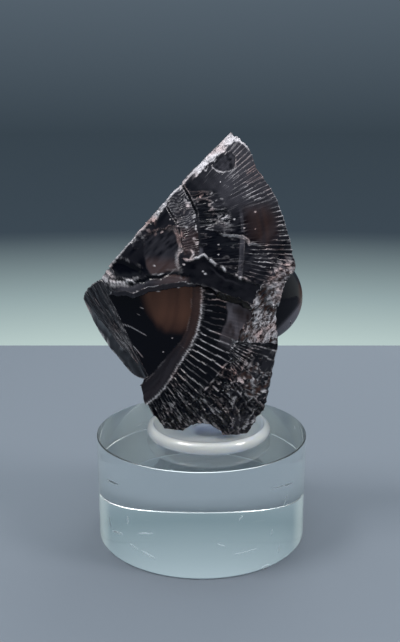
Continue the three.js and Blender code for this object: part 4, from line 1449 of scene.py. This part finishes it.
# Colour of the studio round the stand by the sine of the height above the horizon.
STUDIO = [
    (-1, (0.5, 0.62, 0.6)), (-0.26, (0.5, 0.62, 0.6)), (-0.2, (0.3, 0.39, 0.4)),
    (-0.12, (0.045, 0.065, 0.085)), (0, (0.04, 0.058, 0.075)), (0.16, (0.09, 0.12, 0.15)),
    (0.3, (0.2, 0.25, 0.3)), (0.4, (0.36, 0.43, 0.5)), (0.46, (0.2, 0.27, 0.31)),
    (0.5, (0.34, 0.42, 0.47)), (0.56, (0.6, 0.7, 0.78)), (1, (0.74, 0.84, 0.94)),
]
# The pale sides of the studio. They begin at the first share of a sideways
# direction and are full at the second.
SIDE_GLOW = (0.8, 0.9, 0.88)
GLOW_SHARES = (0.7, 0.97)
# Soft lights: name, place, aim, size, power, colour, and whether surfaces mirror it.
LOW_AIM, MIDDLE_AIM = (0, 0, 0.03), (0, 0, 0.05)
LIGHTS = [
    ("overhead", (0, 0.1, 0.75), (0, 0.1, 0), (0.9, 0.7), 4, (0.94, 0.98, 1), True),
    ("key", (-0.3, -0.12, 0.55), MIDDLE_AIM, (0.2, 0.14), 2.6, (1, 0.98, 0.96), True),
    ("low fill", (0, -0.5, 0.1), LOW_AIM, (0.56, 0.13), 0.65, (0.92, 0.98, 0.95), False),
    ("back glow", (0.1, 0.3, 0.22), LOW_AIM, (0.2, 0.1), 0.5, (1, 0.99, 0.94), False),
    ("right", (0.42, -0.16, 0.42), MIDDLE_AIM, (0.14, 0.2), 2, (1, 0.96, 0.95), True),
]
CAMERA_PLACE = (-0.00035, -0.1796, 0.0943)
CAMERA_TILT = math.radians(76.7)
CAMERA_LENS, CAMERA_SENSOR = 44.4, 36


def make_floor(settings):
    bm = bmesh.new()
    bmesh.ops.create_grid(bm, x_segments=1, y_segments=1, size=0.5)
    bmesh.ops.scale(bm, verts=bm.verts, vec=(FLOOR_WIDE, FLOOR_FAR - FLOOR_NEAR, 1))
    bmesh.ops.translate(bm, verts=bm.verts, vec=(0, (FLOOR_FAR + FLOOR_NEAR) / 2, -FLOOR_DROP))
    floor = as_object(bm, "floor", closed=False)
    material, _, shader, _ = new_material("floor")
    shader.inputs["Base Color"].default_value = solid(settings.floor_colour)
    shader.inputs["Roughness"].default_value = 0.7
    shader.inputs["Specular IOR Level"].default_value = 0.2
    floor.data.materials.append(material)


def soft_light(name, place, aim, size, power, colour, mirrored):
    data = bpy.data.lights.new(name, "AREA")
    data.shape = "RECTANGLE"
    data.size, data.size_y = size
    data.energy = power
    data.color = colour
    light = bpy.data.objects.new(name, data)
    light.visible_glossy = mirrored
    light.visible_transmission = mirrored
    light.location = place
    light.rotation_euler = (Vector(aim) - Vector(place)).to_track_quat("-Z", "Y").to_euler()
    bpy.context.scene.collection.objects.link(light)


def make_studio():
    """The studio's soft surroundings: a ramp from below to above, pale at the sides."""
    world = bpy.data.worlds.new("studio")
    world.use_nodes = True
    tree = world.node_tree
    add = node_adder(tree)
    place = add("ShaderNodeTexCoord").outputs["Generated"]
    parts = add("ShaderNodeSeparateXYZ", {0: place})
    height = add("ShaderNodeMapRange", {"Value": parts.outputs["Z"], "From Min": -1})
    shades = add("ShaderNodeValToRGB", {0: height.outputs[0]})
    elements = shades.color_ramp.elements
    while len(elements) < len(STUDIO):
        elements.new(0.5)
    for element, (level, colour) in zip(elements, STUDIO):
        element.position = (level + 1) / 2
        element.color = solid(colour)
    sideways = add("ShaderNodeMath", {0: parts.outputs["X"]}, operation="ABSOLUTE")
    glow = add("ShaderNodeMapRange", {
        "Value": sideways.outputs[0], "From Min": GLOW_SHARES[0], "From Max": GLOW_SHARES[1]})
    colour = mix_colour(add, glow.outputs[0], shades.outputs[0], solid(SIDE_GLOW), "LIGHTEN")
    tree.links.new(colour, tree.nodes["Background"].inputs["Color"])
    bpy.context.scene.world = world
    bpy.context.scene.view_settings.view_transform = "Standard"


def make_camera():
    data = bpy.data.cameras.new("camera")
    data.sensor_width = CAMERA_SENSOR
    data.lens = CAMERA_LENS
    camera = bpy.data.objects.new("camera", data)
    camera.location = CAMERA_PLACE
    camera.rotation_euler = (CAMERA_TILT, 0, 0)
    bpy.context.scene.collection.objects.link(camera)
    bpy.context.scene.camera = camera


# ------------------------------------------------------------------ operators


def settle(piece, material, node):
    """Scales a finished piece to metres and ties it to the model."""
    piece.data.transform(Matrix.Scale(MM, 4))
    piece.data.materials.clear()
    piece.data.materials.append(material)
    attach(piece, "root")
    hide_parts(node)


class SPECIMEN_OT_block(bpy.types.Operator):
    """Adds the round block of clear acrylic"""
    bl_idname = "specimen.add_block"
    bl_label = "Add acrylic block"

    def execute(self, context):
        settings = context.scene.specimen_holder
        settle(make_block(settings), acrylic_material(settings), "acrylic_block")
        return {"FINISHED"}


class SPECIMEN_OT_dish(bpy.types.Operator):
    """Adds the opal-glass dish that cradles the stone"""
    bl_idname = "specimen.add_dish"
    bl_label = "Add opal dish"

    def execute(self, context):
        settings = context.scene.specimen_holder
        settle(make_dish(settings), opal_material(settings), "opal_glass_dish")
        return {"FINISHED"}


class SPECIMEN_OT_stone(bpy.types.Operator):
    """Adds the stone with its breaks, hackles and scars"""
    bl_idname = "specimen.add_stone"
    bl_label = "Add shungite stone"

    def execute(self, context):
        settings = context.scene.specimen_stone
        settle(make_stone(), stone_material(settings), "shungite_stone")
        return {"FINISHED"}


class SPECIMEN_OT_stage(bpy.types.Operator):
    """Adds the plain floor, the soft lights and the camera"""
    bl_idname = "specimen.add_stage"
    bl_label = "Add stage"

    def execute(self, context):
        settings = context.scene.specimen_stage
        make_floor(settings)
        for name, place, aim, size, power, colour, mirrored in LIGHTS:
            soft_light(name, place, aim, size, power * settings.light, colour, mirrored)
        make_studio()
        make_camera()
        return {"FINISHED"}


class SPECIMEN_PT_panel(bpy.types.Panel):
    """Lists the pieces of the specimen and their settings"""
    bl_label = "Shungite specimen"
    bl_idname = "SPECIMEN_PT_panel"
    bl_space_type = "VIEW_3D"
    bl_region_type = "UI"
    bl_category = "Specimen"

    def draw(self, context):
        groups = (
            (context.scene.specimen_holder, ("specimen.add_block", "specimen.add_dish")),
            (context.scene.specimen_stone, ("specimen.add_stone",)),
            (context.scene.specimen_stage, ("specimen.add_stage",)),
        )
        for settings, operators in groups:
            box = self.layout.box()
            for name in settings.__annotations__:
                box.prop(settings, name)
            for name in operators:
                box.operator(name)


CLASSES = (
    StoneSettings, HolderSettings, StageSettings, SPECIMEN_OT_block, SPECIMEN_OT_dish,
    SPECIMEN_OT_stone, SPECIMEN_OT_stage, SPECIMEN_PT_panel,
)


def register():
    for item in CLASSES:
        bpy.utils.register_class(item)
    bpy.types.Scene.specimen_stone = bpy.props.PointerProperty(type=StoneSettings)
    bpy.types.Scene.specimen_holder = bpy.props.PointerProperty(type=HolderSettings)
    bpy.types.Scene.specimen_stage = bpy.props.PointerProperty(type=StageSettings)


def unregister():
    del bpy.types.Scene.specimen_stage
    del bpy.types.Scene.specimen_holder
    del bpy.types.Scene.specimen_stone
    for item in reversed(CLASSES):
        bpy.utils.unregister_class(item)


def main():
    register()
    bpy.ops.specimen.add_block()
    bpy.ops.specimen.add_dish()
    bpy.ops.specimen.add_stone()
    bpy.ops.specimen.add_stage()


if __name__ == "__main__":
    main()
